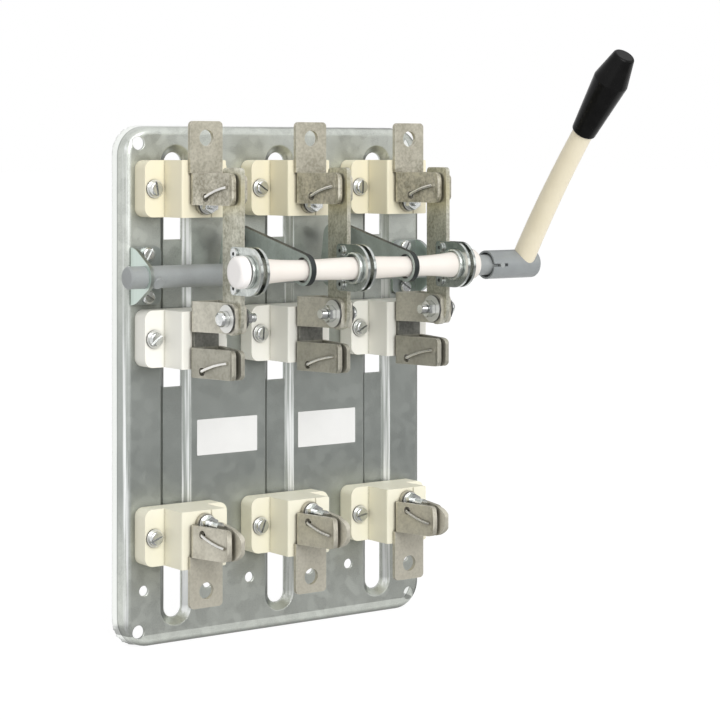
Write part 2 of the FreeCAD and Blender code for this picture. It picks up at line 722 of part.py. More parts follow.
def hinge_bolts():
    """Returns the three bolts on which the knives swing."""
    bolts = []
    washer_out = CHEEK_OUT + M6_WASHER_T
    tail = washer_out + M6_NUT_H + HINGE_TAIL
    for x in POLES:
        hand = hinge_hand(x)
        head = Part.makeCylinder(M6_DOME_R, HINGE_HEAD_H, Vector(x - hand * washer_out, PIVOT_Y, PIVOT_Z),
                                 X_AXIS * -hand)
        tip_x = x - hand * (washer_out + HINGE_HEAD_H)
        rim = [edge for edge in head.Edges
               if abs(edge.BoundBox.XMin - tip_x) < 0.01 and abs(edge.BoundBox.XMax - tip_x) < 0.01]
        head = head.makeFillet(HINGE_HEAD_H / 2, rim)
        shank = Part.makeCylinder(M6_R, washer_out + tail, Vector(x - hand * washer_out, PIVOT_Y, PIVOT_Z),
                                  X_AXIS * hand)
        bolts.append(head.fuse(shank))
    return Part.makeCompound(bolts)


def hinge_washers():
    """Returns the large washers on both sides of the hinge tabs."""
    rings = []
    for x in POLES:
        for side in (-1, 1):
            seat = Vector(x + side * CHEEK_OUT, PIVOT_Y, PIVOT_Z)
            rings.append(washer(HINGE_WASHER_R, M6_R + BORE_PLAY, seat, X_AXIS * side, M6_WASHER_T))
    return Part.makeCompound(rings)


def hinge_nuts():
    """Returns the nuts on the hinge bolts."""
    nuts = []
    for x in POLES:
        hand = hinge_hand(x)
        seat = Vector(x + hand * (CHEEK_OUT + M6_WASHER_T), PIVOT_Y, PIVOT_Z)
        nut = hexagon(M6_NUT_AF, seat, X_AXIS * hand, M6_NUT_H)
        nuts.append(nut.cut(Part.makeCylinder(M6_R + BORE_PLAY, M6_NUT_H, seat, X_AXIS * hand)))
    return Part.makeCompound(nuts)


def knife_blade(x):
    """Returns one flat knife, rounded at the hinge and at its two top corners."""
    half = BLADE_W / 2
    x0 = x - BLADE_T / 2
    x1 = x + BLADE_T / 2
    bar = box(x0, x1, BLADE_Y - half, BLADE_Y + half, PIVOT_Z, BLADE_TOP_Z)
    bar = round_edges(bar, BLADE_TIP_R, X_AXIS, lambda point: point.z > BLADE_TOP_Z - 0.1)
    blade = bar.fuse(rod_x(half, x0, x1, PIVOT_Y, PIVOT_Z)).removeSplitter()
    blade = blade.cut(rod_x(M6_R + RUNNING_PLAY, x0, x1, PIVOT_Y, PIVOT_Z))
    for side in (-1, 1):
        blade = blade.cut(rod_x(RIVET_R + BORE_PLAY, x0, x1, FACE_Y - RIVET_FRONT,
                                BAR_Z + side * RIVET_Z_OFF))
    return blade


def bulb_edges(side):
    """Returns the outline of one end of the bar: collar seat, shoulder, bulb and domed end."""
    seat = side * (POLE_PITCH - CLAMP_SEAT)
    shoulder = side * (POLE_PITCH + CLAMP_SEAT)
    bulb = shoulder + side * BULB_STEP
    crown = side * (BAR_HALF - BULB_CROWN)
    tip = side * BAR_HALF
    points = [Vector(seat, BAR_COLLAR_R, 0), Vector(shoulder, BAR_COLLAR_R, 0),
              Vector(bulb, BAR_END_R, 0), Vector(crown, BAR_END_R, 0)]
    edges = [Part.makeLine(a, b) for a, b in zip(points, points[1:])]
    corner = Vector(crown + side * BULB_CROWN * BULB_ARC_SHARE,
                    BAR_END_R - BULB_CROWN * (1 - BULB_ARC_SHARE), 0)
    edges.append(Part.Arc(points[-1], corner, Vector(tip, BAR_END_R - BULB_CROWN, 0)).toShape())
    edges.append(Part.makeLine(Vector(tip, BAR_END_R - BULB_CROWN, 0), Vector(tip, 0, 0)))
    return edges


def insulating_bar():
    """Returns the turned bar that joins the knives: bulbs at its ends, necked between clamps."""
    seat = POLE_PITCH - CLAMP_SEAT
    curve = Part.BSplineCurve()
    curve.interpolate([Vector(-seat, BAR_COLLAR_R, 0), Vector(-POLE_PITCH / 2, BAR_NECK_R, 0),
                       Vector(0, BAR_MIDDLE_R, 0), Vector(POLE_PITCH / 2, BAR_NECK_R, 0),
                       Vector(seat, BAR_COLLAR_R, 0)])
    closing = Part.makeLine(Vector(-BAR_HALF, 0, 0), Vector(BAR_HALF, 0, 0))
    edges = bulb_edges(-1) + [curve.toShape()] + bulb_edges(1) + [closing]
    wire = Part.Wire(Part.__sortEdges__(edges))
    bar = Part.makeSolid(Part.Face(wire).revolve(Vector(0, 0, 0), X_AXIS, 360))
    bar.translate(Vector(0, BAR_Y, BAR_Z))
    return bar


def clamp_plate(x, side):
    """Returns one clamp plate: a D-shaped cheek with a rolled collar round the bar."""
    inner = BLADE_T / 2
    seat = x + side * inner
    outer = seat + side * CLAMP_T
    x0, x1 = min(seat, outer), max(seat, outer)
    back_y = FACE_Y - CLAMP_BACK
    disc = rod_x(CLAMP_R, x0, x1, BAR_Y, BAR_Z)
    tail = box(x0, x1, BAR_Y, back_y, BAR_Z - CLAMP_R, BAR_Z + CLAMP_R)
    tail = round_edges(tail, CLAMP_CORNER_R, X_AXIS, lambda point: point.y > back_y - 0.1)
    tip = outer + side * CLAMP_COLLAR_L
    collar = rod_x(CLAMP_COLLAR_R, min(outer, tip), max(outer, tip), BAR_Y, BAR_Z)
    lip = [edge for edge in collar.Edges
           if abs(edge.BoundBox.XMin - tip) < 0.01 and abs(edge.BoundBox.XMax - tip) < 0.01]
    collar = collar.makeFillet(CLAMP_LIP_R, lip)
    plate = disc.fuse([tail, collar]).removeSplitter()
    bore = rod_x(BAR_COLLAR_R + BORE_PLAY, x0 - CLAMP_R, x1 + CLAMP_R, BAR_Y, BAR_Z)
    plate = plate.cut(bore)
    for level in (-1, 1):
        plate = plate.cut(rod_x(RIVET_R + BORE_PLAY, x0, x1, FACE_Y - RIVET_FRONT,
                                BAR_Z + level * RIVET_Z_OFF))
    return plate


def clamp_rivets():
    """Returns the tubular rivets that hold the clamp plates on the knives."""
    rivets = []
    reach = BLADE_T / 2 + CLAMP_T
    for x in POLES:
        for level in (-1, 1):
            y = FACE_Y - RIVET_FRONT
            z = BAR_Z + level * RIVET_Z_OFF
            body = rod_x(RIVET_R, x - reach, x + reach, y, z)
            for side in (-1, 1):
                a = x + side * reach
                b = a + side * RIVET_HEAD_T
                body = body.fuse(rod_x(RIVET_HEAD_R, min(a, b), max(a, b), y, z))
            ends = reach + RIVET_HEAD_T
            rivets.append(body.cut(rod_x(RIVET_BORE_R, x - ends, x + ends, y, z)))
    return Part.makeCompound(rivets)


def shaft():
    """Returns the operating shaft with the holes of its stop pins and hub pin."""
    bar = rod_x(SHAFT_R, SHAFT_LEFT, SHAFT_RIGHT, SHAFT_Y, SHAFT_Z)
    rims = [edge for edge in bar.Edges if edge.Length > 0.9 * 2 * math.pi * SHAFT_R
            and edge.BoundBox.XLength < 0.01]
    bar = bar.makeChamfer(SHAFT_CHAMFER, rims)
    for x, turn in ((-STOP_PIN_X, STOP_PIN_TURN), (STOP_PIN_X, STOP_PIN_TURN), (HUB_PIN_X, 0)):
        hole = rod_y(STOP_PIN_R + BORE_PLAY, x, SHAFT_Z, SHAFT_Y - HUB_R, SHAFT_Y + HUB_R)
        hole.rotate(Vector(0, SHAFT_Y, SHAFT_Z), X_AXIS, turn)
        bar = bar.cut(hole)
    return bar


def stop_pin(x):
    """Returns one stop pin, its round head seated on the shaft a little below the front."""
    top = SHAFT_Y - SHAFT_R - STOP_HEAD_PROUD
    head = rod_y(STOP_HEAD_R, x, SHAFT_Z, top, SHAFT_Y)
    rim = [edge for edge in head.Edges if abs(edge.BoundBox.YMax - top) < 0.01]
    head = head.makeFillet(STOP_HEAD_EDGE_R, rim)
    head = head.cut(rod_x(SHAFT_R + BORE_PLAY, x - STOP_HEAD_R, x + STOP_HEAD_R, SHAFT_Y, SHAFT_Z))
    pin = head.fuse(rod_y(STOP_PIN_R, x, SHAFT_Z, top, SHAFT_Y + SHAFT_R))
    pin.rotate(Vector(0, SHAFT_Y, SHAFT_Z), X_AXIS, STOP_PIN_TURN)
    return pin


def shaft_pins():
    """Returns the cross pins: two stop the shaft endways, one locks the hub."""
    pins = [stop_pin(x) for x in (-STOP_PIN_X, STOP_PIN_X)]
    pins.append(rod_y(STOP_PIN_R, HUB_PIN_X, SHAFT_Z, SHAFT_Y - HUB_R, SHAFT_Y + HUB_R))
    return Part.makeCompound(pins)


def crank(link_x):
    """Returns one crank arm, welded on the shaft."""
    x0 = link_x - CRANK_STEP - CRANK_T / 2
    x1 = x0 + CRANK_T
    arm = hull_of_circles(Vector(0, CRANK_Y, CRANK_Z), CRANK_TIP_R, Vector(0, SHAFT_Y, SHAFT_Z),
                          CRANK_ROOT_R, x0, x1)
    arm = arm.cut(rod_x(SHAFT_R, x0, x1, SHAFT_Y, SHAFT_Z))
    return arm.cut(rod_x(PIN_R + BORE_PLAY, x0, x1, CRANK_Y, CRANK_Z))


def crank_pins():
    """Returns the headed pins between the cranks and their links."""
    pins = []
    for x in LINKS:
        left = x - CRANK_STEP - CRANK_T / 2
        right = x + LINK_T / 2 + RUNNING_PLAY
        body = rod_x(PIN_R, left, right, CRANK_Y, CRANK_Z)
        body = body.fuse(rod_x(PIN_HEAD_R, left - PIN_HEAD_T, left, CRANK_Y, CRANK_Z))
        body = body.fuse(rod_x(PIN_HEAD_R, right, right + PIN_HEAD_T, CRANK_Y, CRANK_Z))
        shoulder = rod_x(PIN_HEAD_R, left + CRANK_T, x - LINK_T / 2 - RUNNING_PLAY, CRANK_Y, CRANK_Z)
        pins.append(body.fuse(shoulder))
    return Part.makeCompound(pins)


def link(x):
    """Returns one link: a plate from the crank pin to an eye that runs round the bar."""
    half = LINK_T / 2
    start = Vector(0, CRANK_Y, CRANK_Z)
    end = Vector(0, BAR_Y, BAR_Z)
    body = hull_of_circles(start, CRANK_TIP_R, end, LINK_EYE_R, x - half, x + half)
    body = body.cut(rod_x(BAR_NECK_R + LINK_EYE_PLAY, x - half, x + half, BAR_Y, BAR_Z))
    return body.cut(rod_x(PIN_R + RUNNING_PLAY, x - half, x + half, CRANK_Y, CRANK_Z))


def bearing_bracket(side):
    """Returns the left (-1) or right (1) bearing bracket, a bent angle with a rounded nose."""
    outer = side * BRACKET_X
    inner = outer - side * BRACKET_T
    x0, x1 = min(outer, inner), max(outer, inner)
    half_h = BRACKET_H / 2
    nose = Vector(0, SHAFT_Y, SHAFT_Z)
    base = Vector(0, FACE_Y - BRACKET_NOSE_BASE, SHAFT_Z)
    upright = hull_of_circles(nose, BRACKET_NOSE_R, base, half_h, x0, x1)
    upright = upright.common(box(x0, x1, SHAFT_Y - BRACKET_H, FACE_Y, SHAFT_Z - half_h,
                                 SHAFT_Z + half_h))
    foot_in = outer - side * BRACKET_FOOT_W
    foot = box(min(outer, foot_in), max(outer, foot_in), FACE_Y - BRACKET_T, FACE_Y,
               SHAFT_Z - half_h, SHAFT_Z + half_h)
    foot = round_edges(foot, BRACKET_CORNER_R, Y_AXIS, lambda point: abs(point.x - foot_in) < 0.1)
    body = upright.fuse(foot).removeSplitter()
    body = round_edges(body, BRACKET_BEND_R, Z_AXIS,
                       lambda point: abs(point.x - outer) < 0.1 and abs(point.y - FACE_Y) < 0.1)
    body = body.cut(rod_x(SHAFT_R + RUNNING_PLAY, x0, x1, SHAFT_Y, SHAFT_Z))
    for x, z in bracket_screw_places():
        if x * side > 0:
            body = body.cut(rod_y(M5_R + HOLE_PLAY, x, z, FACE_Y - BRACKET_T, FACE_Y))
    return body


def handle_hub():
    """Returns the tube at the shaft's right end, slotted at its mouth, that carries the rod."""
    tube = rod_x(HUB_R, HUB_LEFT, HUB_RIGHT, SHAFT_Y, SHAFT_Z)
    rim = [edge for edge in tube.Edges
           if abs(edge.BoundBox.XMin - HUB_RIGHT) < 0.01 and edge.BoundBox.XLength < 0.01]
    tube = tube.makeFillet(HUB_END_R, rim)
    tube = tube.cut(rod_x(SHAFT_R + BORE_PLAY, HUB_LEFT, SHAFT_RIGHT + BORE_PLAY, SHAFT_Y, SHAFT_Z))
    tube = tube.cut(rod_y(STOP_PIN_R + BORE_PLAY, HUB_PIN_X, SHAFT_Z, SHAFT_Y - HUB_R, SHAFT_Y + HUB_R))
    mouth = box(HUB_LEFT, HUB_LEFT + HUB_SLOT_L, SHAFT_Y - HUB_R, SHAFT_Y,
                SHAFT_Z - HUB_SLOT_W / 2, SHAFT_Z + HUB_SLOT_W / 2)
    tube = tube.cut(mouth)
    tube = tube.cut(rod_x(HUB_BELL_R, HUB_LEFT, HUB_LEFT + HUB_BELL_DEPTH, SHAFT_Y, SHAFT_Z))
    foot = Part.makeCylinder(ROD_FOOT_R, HUB_R * 2, Vector(HANDLE_X, SHAFT_Y, SHAFT_Z),
                             lean(ROD_TILT_START))
    return tube.cut(foot)


def lean(tilt):
    """Returns the direction in the handle's plane that leans forward from vertical by tilt."""
    return Vector(0, -math.sin(math.radians(tilt)), math.cos(math.radians(tilt)))


def rod_point(share):
    """Returns the point at a share of the handle rod's length, along its slight bow."""
    start = math.radians(ROD_TILT_START)
    turn = math.radians(ROD_TILT_END - ROD_TILT_START)
    radius = ROD_LENGTH / turn
    now = start + turn * share
    dy = -radius * (math.cos(start) - math.cos(now))
    dz = radius * (math.sin(now) - math.sin(start))
    return Vector(HANDLE_X, SHAFT_Y + dy, SHAFT_Z + dz)


def handle_rod():
    """Returns the slightly bowed, tapered rod from the hub into the grip."""
    foot, middle, top = rod_point(0), rod_point(0.5), rod_point(1)
    path = Part.Wire([Part.Arc(foot, middle, top).toShape()])
    wide = Part.Wire(Part.makeCircle(ROD_FOOT_R, foot, lean(ROD_TILT_START)))
    slim = Part.Wire(Part.makeCircle(ROD_TOP_R, top, lean(ROD_TILT_END)))
    rod = path.makePipeShell([wide, slim], True, True)
    tang = Part.makeCylinder(ROD_TOP_R, ROD_IN_GRIP, top, lean(ROD_TILT_END))
    return rod.fuse(tang).removeSplitter()


def handle_grip():
    """Returns the turned black grip, a double cone with a short round tip."""
    profile = [Vector(0, 0, 0), Vector(GRIP_FOOT_R, 0, 0), Vector(GRIP_WIDE_R, 0, GRIP_WIDE_AT),
               Vector(GRIP_TIP_R, 0, GRIP_LENGTH), Vector(0, 0, GRIP_LENGTH), Vector(0, 0, 0)]
    body = Part.Face(Part.makePolygon(profile)).revolve(Vector(0, 0, 0), Z_AXIS, 360)
    rings = [edge for edge in body.Edges if edge.BoundBox.ZLength < 0.01]
    body = body.makeFillet(GRIP_EDGE_R, rings)
    body = body.cut(Part.makeCylinder(ROD_TOP_R + BORE_PLAY, ROD_IN_GRIP + BORE_PLAY))
    body.rotate(Vector(0, 0, 0), X_AXIS, ROD_TILT_END)
    body.translate(rod_point(1))
    return body


def save(name, shape):
    """Writes one node's STEP file."""
    shape.exportStep("parts/" + name + ".step")


def main():
    """Builds every node and writes it."""
    os.makedirs("parts", exist_ok=True)
    save("mounting_plate", mounting_plate())
    middle_levels = (MIDDLE_Z - MIDDLE_BOLT_Z, MIDDLE_Z + MIDDLE_BOLT_Z)
    fuse_z = MIDDLE_Z + HINGE_CONTACT_BOTTOM + FUSE_TAB_H / 2
    for number, x in enumerate(POLES, 1):
        pole = str(number)
        save("top_insulator_" + pole, insulator(x, TOP_Z, (TOP_Z - CONTACT_BOLT_DROP,)))
        save("middle_insulator_" + pole, insulator(x, MIDDLE_Z, middle_levels))
        save("bottom_insulator_" + pole, insulator(x, BOTTOM_Z, (BOTTOM_Z + CONTACT_BOLT_DROP,)))
        save("top_contact_" + pole, knife_jaw_contact(x))
        save("hinge_contact_" + pole, hinge_contact(x))
        save("bottom_contact_" + pole, fuse_jaw_contact(x))
        save("top_spring_" + pole, jaw_spring(x, TOP_Z - WIRE_HOLE_DROP, TOP_Z + SPRING_TIP_RISE,
                                              TOP_WIRE_HOLE_DEPTH, GAP_HALF, PINCH_DEPTH))
        save("middle_spring_" + pole, jaw_spring(x, fuse_z - WIRE_HOLE_DROP, fuse_z + SPRING_TIP_RISE,
                                                 WIRE_HOLE_DEPTH, FUSE_GAP_HALF, MIDDLE_PINCH_DEPTH))
        save("bottom_spring_" + pole, jaw_spring(x, BOTTOM_Z + WIRE_HOLE_DROP,
                                                 BOTTOM_Z - SPRING_TIP_RISE, WIRE_HOLE_DEPTH,
                                                 FUSE_GAP_HALF, FUSE_PINCH_DEPTH))
        save("knife_blade_" + pole, knife_blade(x))
        save("clamp_left_" + pole, clamp_plate(x, -1))
        save("clamp_right_" + pole, clamp_plate(x, 1))
    save("slotted_screws", slotted_screws())
    save("small_washers", small_washers())
    save("plate_nuts", plate_nuts())
    save("contact_bolts", contact_bolts())
    save("contact_washers", contact_washers())
    save("contact_nuts", contact_nuts())
    save("hinge_bolts", hinge_bolts())
    save("hinge_washers", hinge_washers())
    save("hinge_nuts", hinge_nuts())
    save("insulating_bar", insulating_bar())
    save("clamp_rivets", clamp_rivets())
    save("shaft", shaft())
    save("shaft_pins", shaft_pins())
    save("crank_pins", crank_pins())
    for number, x in enumerate(LINKS, 1):
        save("crank_" + str(number), crank(x))
        save("link_" + str(number), link(x))
    save("bearing_bracket_left", bearing_bracket(-1))
    save("bearing_bracket_right", bearing_bracket(1))
    save("handle_hub", handle_hub())
    save("handle_rod", handle_rod())
    save("handle_grip", handle_grip())


main()
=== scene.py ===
"""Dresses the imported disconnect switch: finishes, small pieces, studio and camera."""

from __future__ import annotations

import logging
import math
from dataclasses import dataclass, field, replace
from enum import Enum

import bmesh
import bpy
from mathutils import Matrix, Vector


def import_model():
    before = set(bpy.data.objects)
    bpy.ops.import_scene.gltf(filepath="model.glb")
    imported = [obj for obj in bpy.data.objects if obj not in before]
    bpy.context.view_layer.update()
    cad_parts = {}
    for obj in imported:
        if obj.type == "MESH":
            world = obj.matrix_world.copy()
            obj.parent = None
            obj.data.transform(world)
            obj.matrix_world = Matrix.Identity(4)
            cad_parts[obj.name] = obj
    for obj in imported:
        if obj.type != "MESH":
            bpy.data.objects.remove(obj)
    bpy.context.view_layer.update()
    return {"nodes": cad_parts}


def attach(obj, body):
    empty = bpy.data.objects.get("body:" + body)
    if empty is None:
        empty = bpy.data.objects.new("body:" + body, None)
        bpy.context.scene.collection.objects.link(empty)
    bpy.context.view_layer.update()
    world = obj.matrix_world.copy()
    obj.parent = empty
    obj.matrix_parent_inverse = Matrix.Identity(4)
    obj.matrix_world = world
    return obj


LOG = logging.getLogger("switch")
MM = 0.001
POLES = (1, 2, 3)
MIDDLE_POLE = 2
POLE_PITCH = 84.0 * MM

Colour = tuple[float, float, float]
Point = tuple[float, float, float]
Range = tuple[float, float]
Nodes = dict[str, bpy.types.Object]


def pole_x(pole: int) -> float:
    """Returns the X of a pole's middle plane, in metres."""
    return (pole - MIDDLE_POLE) * POLE_PITCH


def rgba(colour: Colour) -> tuple[float, float, float, float]:
    """Returns the colour with full alpha."""
    return (*colour, 1.0)


def grey(level: float) -> tuple[float, float, float, float]:
    """Returns a grey of one level with full alpha."""
    return rgba((level, level, level))


class Slot(Enum):
    """The record's material slots for added pieces; this script gives them to no piece."""

    GALVANISED = "galvanised"
    FASTENER = "zinc_fastener"


class Body(Enum):
    """The bodies that added pieces ride on."""

    BASE = "base"


class Graph:
    """A small helper that adds and links nodes in one node tree."""

    def __init__(self, tree: bpy.types.NodeTree) -> None:
        """Keeps the tree.

        Args:
            tree: the material, world or group tree to fill.
        """
        self.tree = tree

    def node(self, kind: str, **values: object) -> bpy.types.Node:
        """Adds a node and sets its properties and inputs.

        Args:
            kind: the node's type name.
            **values: properties by name, or inputs by name with spaces as underscores.

        Returns:
            The new node.
        """
        made = self.tree.nodes.new(kind)
        for name, value in values.items():
            if hasattr(made, name):
                setattr(made, name, value)
            else:
                made.inputs[name.replace("_", " ")].default_value = value
        return made

    def group(self, tree: bpy.types.NodeTree, **values: object) -> bpy.types.Node:
        """Places a shader group.

        Args:
            tree: the group.
            **values: inputs by name, with spaces as underscores.

        Returns:
            The group node.
        """
        made = self.node("ShaderNodeGroup", node_tree=tree)
        for name, value in values.items():
            made.inputs[name.replace("_", " ")].default_value = value
        return made

    def link(self, source: bpy.types.NodeSocket, target: bpy.types.NodeSocket) -> None:
        """Links one socket to another."""
        self.tree.links.new(source, target)

    def feed(self, value: object, target: bpy.types.NodeSocket) -> None:
        """Links a socket to an input, or sets the input to a plain value.

        Args:
            value: a socket, or a value of the input's own kind.
            target: the input.
        """
        if isinstance(value, bpy.types.NodeSocket):
            self.link(value, target)
        else:
            target.default_value = value

    def math(self, operation: str, a: object, b: object = None) -> bpy.types.NodeSocket:
        """Adds a math node that doesn't clamp its result.

        Args:
            operation: the math operation.
            a: a socket or a number.
            b: a socket, a number or nothing.

        Returns:
            The result socket.
        """
        made = self.node("ShaderNodeMath", operation=operation)
        self.feed(a, made.inputs[0])
        if b is not None:
            self.feed(b, made.inputs[1])
        return made.outputs[0]

    def vector(self, operation: str, a: object, b: object) -> bpy.types.NodeSocket:
        """Adds a vector math node.

        Args:
            operation: the vector operation.
            a: a socket or a vector.
            b: a socket or a vector, or the factor of a scaling.

        Returns:
            The result: a number for a dot product, otherwise a vector.
        """
        made = self.node("ShaderNodeVectorMath", operation=operation)
        self.feed(a, made.inputs[0])
        self.feed(b, made.inputs["Scale"] if operation == "SCALE" else made.inputs[1])
        return made.outputs["Value" if operation == "DOT_PRODUCT" else "Vector"]

    def mix(self, mask: object, first: object, second: object) -> bpy.types.NodeSocket:
        """Mixes two colours.

        Args:
            mask: a socket or a number, 0 for the first colour.
            first: a socket or a colour.
            second: a socket or a colour.

        Returns:
            The mixed colour's socket.
        """
        made = self.node("ShaderNodeMix", data_type="RGBA")
        inputs = {socket.identifier: socket for socket in made.inputs}
        self.feed(mask, inputs["Factor_Float"])
        for name, value in (("A_Color", first), ("B_Color", second)):
            self.feed(rgba(value) if isinstance(value, tuple) else value, inputs[name])
        return next(socket for socket in made.outputs if socket.identifier == "Result_Color")

    def span(self, value: object, low: object, high: object,
             to_low: float = 0.0, to_high: float = 1.0) -> bpy.types.NodeSocket:
        """Maps a value from one range to another, clamped.

        Args:
            value: the socket to map.
            low: the lower end of the source range, a socket or a number.
            high: the upper end of the source range, a socket or a number.
            to_low: what the lower end becomes.
            to_high: what the upper end becomes.

        Returns:
            The mapped socket.
        """
        made = self.node("ShaderNodeMapRange")
        for place, end in enumerate((value, low, high, to_low, to_high)):
            self.feed(end, made.inputs[place])
        return made.outputs[0]

    def place(self) -> bpy.types.NodeSocket:
        """Returns the socket of the place in the part's frame, in metres."""
        return self.node("ShaderNodeTexCoord").outputs["Object"]

    def normal(self) -> bpy.types.NodeSocket:
        """Returns the socket of the surface's normal."""
        return self.node("ShaderNodeNewGeometry").outputs["Normal"]

    def noise(self, place: bpy.types.NodeSocket, scale: object, **values: float) -> bpy.types.NodeSocket:
        """Adds a noise texture.

        Args:
            place: the socket of the place where it is read.
            scale: how many waves fit in a metre, a socket or a number.
            **values: its other inputs by name.

        Returns:
            The noise's level, 0 to 1.
        """
        made = self.node("ShaderNodeTexNoise", **values)
        self.link(place, made.inputs["Vector"])
        self.feed(scale, made.inputs["Scale"])
        return made.outputs[0]


FLOAT = "NodeSocketFloat"
COLOUR = "NodeSocketColor"
VECTOR = "NodeSocketVector"
Sockets = bpy.types.bpy_prop_collection


def new_group(name: str, inputs: dict[str, tuple[str, object]],
              outputs: dict[str, str]) -> tuple[Graph, Sockets, Sockets]:
    """Makes an empty shader group with named sockets.

    Args:
        name: the group's name.
        inputs: socket name to its type and default.
        outputs: socket name to its type.

    Returns:
        The group's graph, the sockets that are given to it and the ones that it fills.
    """
    tree = bpy.data.node_groups.new(name, "ShaderNodeTree")
    for label, (kind, value) in inputs.items():
        socket = tree.interface.new_socket(name=label, in_out="INPUT", socket_type=kind)
        socket.default_value = value
    for label, kind in outputs.items():
        tree.interface.new_socket(name=label, in_out="OUTPUT", socket_type=kind)
    graph = Graph(tree)
    return graph, graph.node("NodeGroupInput").outputs, graph.node("NodeGroupOutput").inputs


def mottle_group(cloud_span: Range = (0.38, 0.62), speck_span: Range = (0.42, 0.62)) -> bpy.types.NodeTree:
    """Builds the group that clouds and specks a surface between two colours.

    Args:
        cloud_span: the noise levels between which a cloud comes up.
        speck_span: the noise levels between which a speck comes up.

    Returns:
        The group.
    """
    graph, given, out = new_group(
        "mottle",
        {"Light": (COLOUR, grey(1.0)), "Dark": (COLOUR, grey(0.0)),
         "Cloud Scale": (FLOAT, 60.0), "Speck Scale": (FLOAT, 900.0),
         "Cloud": (FLOAT, 0.5), "Speck": (FLOAT, 0.5)},
        {"Color": COLOUR, "Mask": FLOAT})
    place = graph.place()
    cloud = graph.noise(place, given["Cloud Scale"], Detail=4.0, Roughness=0.6)
    speck = graph.noise(place, given["Speck Scale"], Detail=2.0, Roughness=0.7)
    clouds = graph.math("MULTIPLY", graph.span(cloud, *cloud_span), given["Cloud"])
    specks = graph.math("MULTIPLY", graph.span(speck, *speck_span), given["Speck"])
    both = graph.node("ShaderNodeClamp")
    graph.link(graph.math("ADD", clouds, specks), both.inputs[0])
    mask = both.outputs[0]
    graph.link(graph.mix(mask, given["Light"], given["Dark"]), out["Color"])
    graph.link(mask, out["Mask"])
    return graph.tree


def grain_group() -> bpy.types.NodeTree:
    """Builds the group that gives a fine surface height, waves and grain added up.

    Returns:
        The group.
    """
    graph, given, out = new_group(
        "grain",
        {"Wave Scale": (FLOAT, 40.0), "Grain Scale": (FLOAT, 1200.0),
         "Wave": (FLOAT, 0.5), "Grain": (FLOAT, 0.5)},
        {"Height": FLOAT})
    place = graph.place()
    waves, grains = (
        graph.math("MULTIPLY", graph.noise(place, given[scale], Detail=2.0), given[share])
        for scale, share in (("Wave Scale", "Wave"), ("Grain Scale", "Grain")))
    graph.link(graph.math("ADD", waves, grains), out["Height"])
    return graph.tree


def edge_group(edge_span: Range = (0.80, 0.995), break_span: Range = (0.35, 0.6),
               least: float = 0.25) -> bpy.types.NodeTree:
    """Builds the group that finds a solid's outer edges, broken up by noise, for painted edge highlights
    and painted dark edges.

    Args:
        edge_span: how far the rounded normal agrees with the real one, from edge to flat face.
        break_span: the noise levels between which the edge mark comes up.
        least: the share of the edge mark that stays in the gaps.

    Returns:
        The group.
    """
    graph, given, out = new_group(
        "edges", {"Radius": (FLOAT, 0.0006), "Break Scale": (FLOAT, 300.0)}, {"Mask": FLOAT})
    rounded = graph.node("ShaderNodeBevel", samples=4)
    graph.link(given["Radius"], rounded.inputs["Radius"])
    flat = graph.vector("DOT_PRODUCT", rounded.outputs[0], graph.normal())
    edge = graph.span(flat, *edge_span, 1.0, 0.0)
    noise = graph.noise(graph.place(), given["Break Scale"], Detail=3.0)
    broken = graph.span(noise, *break_span, least, 1.0)
    graph.link(graph.math("MULTIPLY", edge, broken), out["Mask"])
    return graph.tree


def spangle_group(bend_scale: float = 120.0, smoothness: float = 0.35) -> bpy.types.NodeTree:
    """Builds the group that gives zinc crystals: large soft cells of slightly different tone.

    Args:
        bend_scale: the scale of the noise that bends the cells' borders.
        smoothness: how softly the cells run into each other.

    Returns:
        The group.
    """
    graph, given, out = new_group(
        "spangle", {"Scale": (FLOAT, 160.0), "Warp": (FLOAT, 0.004)}, {"Tone": FLOAT})
    place = graph.place()
    bend = graph.node("ShaderNodeTexNoise", Scale=bend_scale, Detail=2.0)
    graph.link(place, bend.inputs["Vector"])
    shift = graph.vector("SCALE", bend.outputs["Color"], given["Warp"])
    cells = graph.node("ShaderNodeTexVoronoi", feature="SMOOTH_F1", Smoothness=smoothness)
    graph.link(graph.vector("ADD", place, shift), cells.inputs["Vector"])
    graph.link(given["Scale"], cells.inputs["Scale"])
    split = graph.node("ShaderNodeSeparateColor")
    graph.link(cells.outputs["Color"], split.inputs[0])
    graph.link(split.outputs[0], out["Tone"])
    return graph.tree


def zone_group(border_scale: float = 25.0) -> bpy.types.NodeTree:
    """Builds the group that marks a band square to an axis of the object, with an uneven border.

    Args:
        border_scale: the scale of the noise that makes the border uneven.

    Returns:
        The group.
    """
    graph, given, out = new_group(
        "zone",
        {"Axis": (VECTOR, (0, 0, 1)), "Low": (FLOAT, 0.0), "High": (FLOAT, 0.1),
         "Soft": (FLOAT, 0.01), "Warp": (FLOAT, 0.01)},
        {"Mask": FLOAT})
    place = graph.place()
    noise = graph.noise(place, border_scale, Detail=2.0)
    along = graph.vector("DOT_PRODUCT", place, given["Axis"])
    shift = graph.math("MULTIPLY", graph.math("SUBTRACT", noise, 0.5), given["Warp"])
    height = graph.math("ADD", along, shift)
    rise = graph.math("DIVIDE", graph.math("SUBTRACT", height, given["Low"]), given["Soft"])
    fall = graph.math("DIVIDE", graph.math("SUBTRACT", given["High"], height), given["Soft"])
    lower, upper = (graph.span(side, -1.0, 1.0) for side in (rise, fall))
    graph.link(graph.math("MULTIPLY", lower, upper), out["Mask"])
    return graph.tree


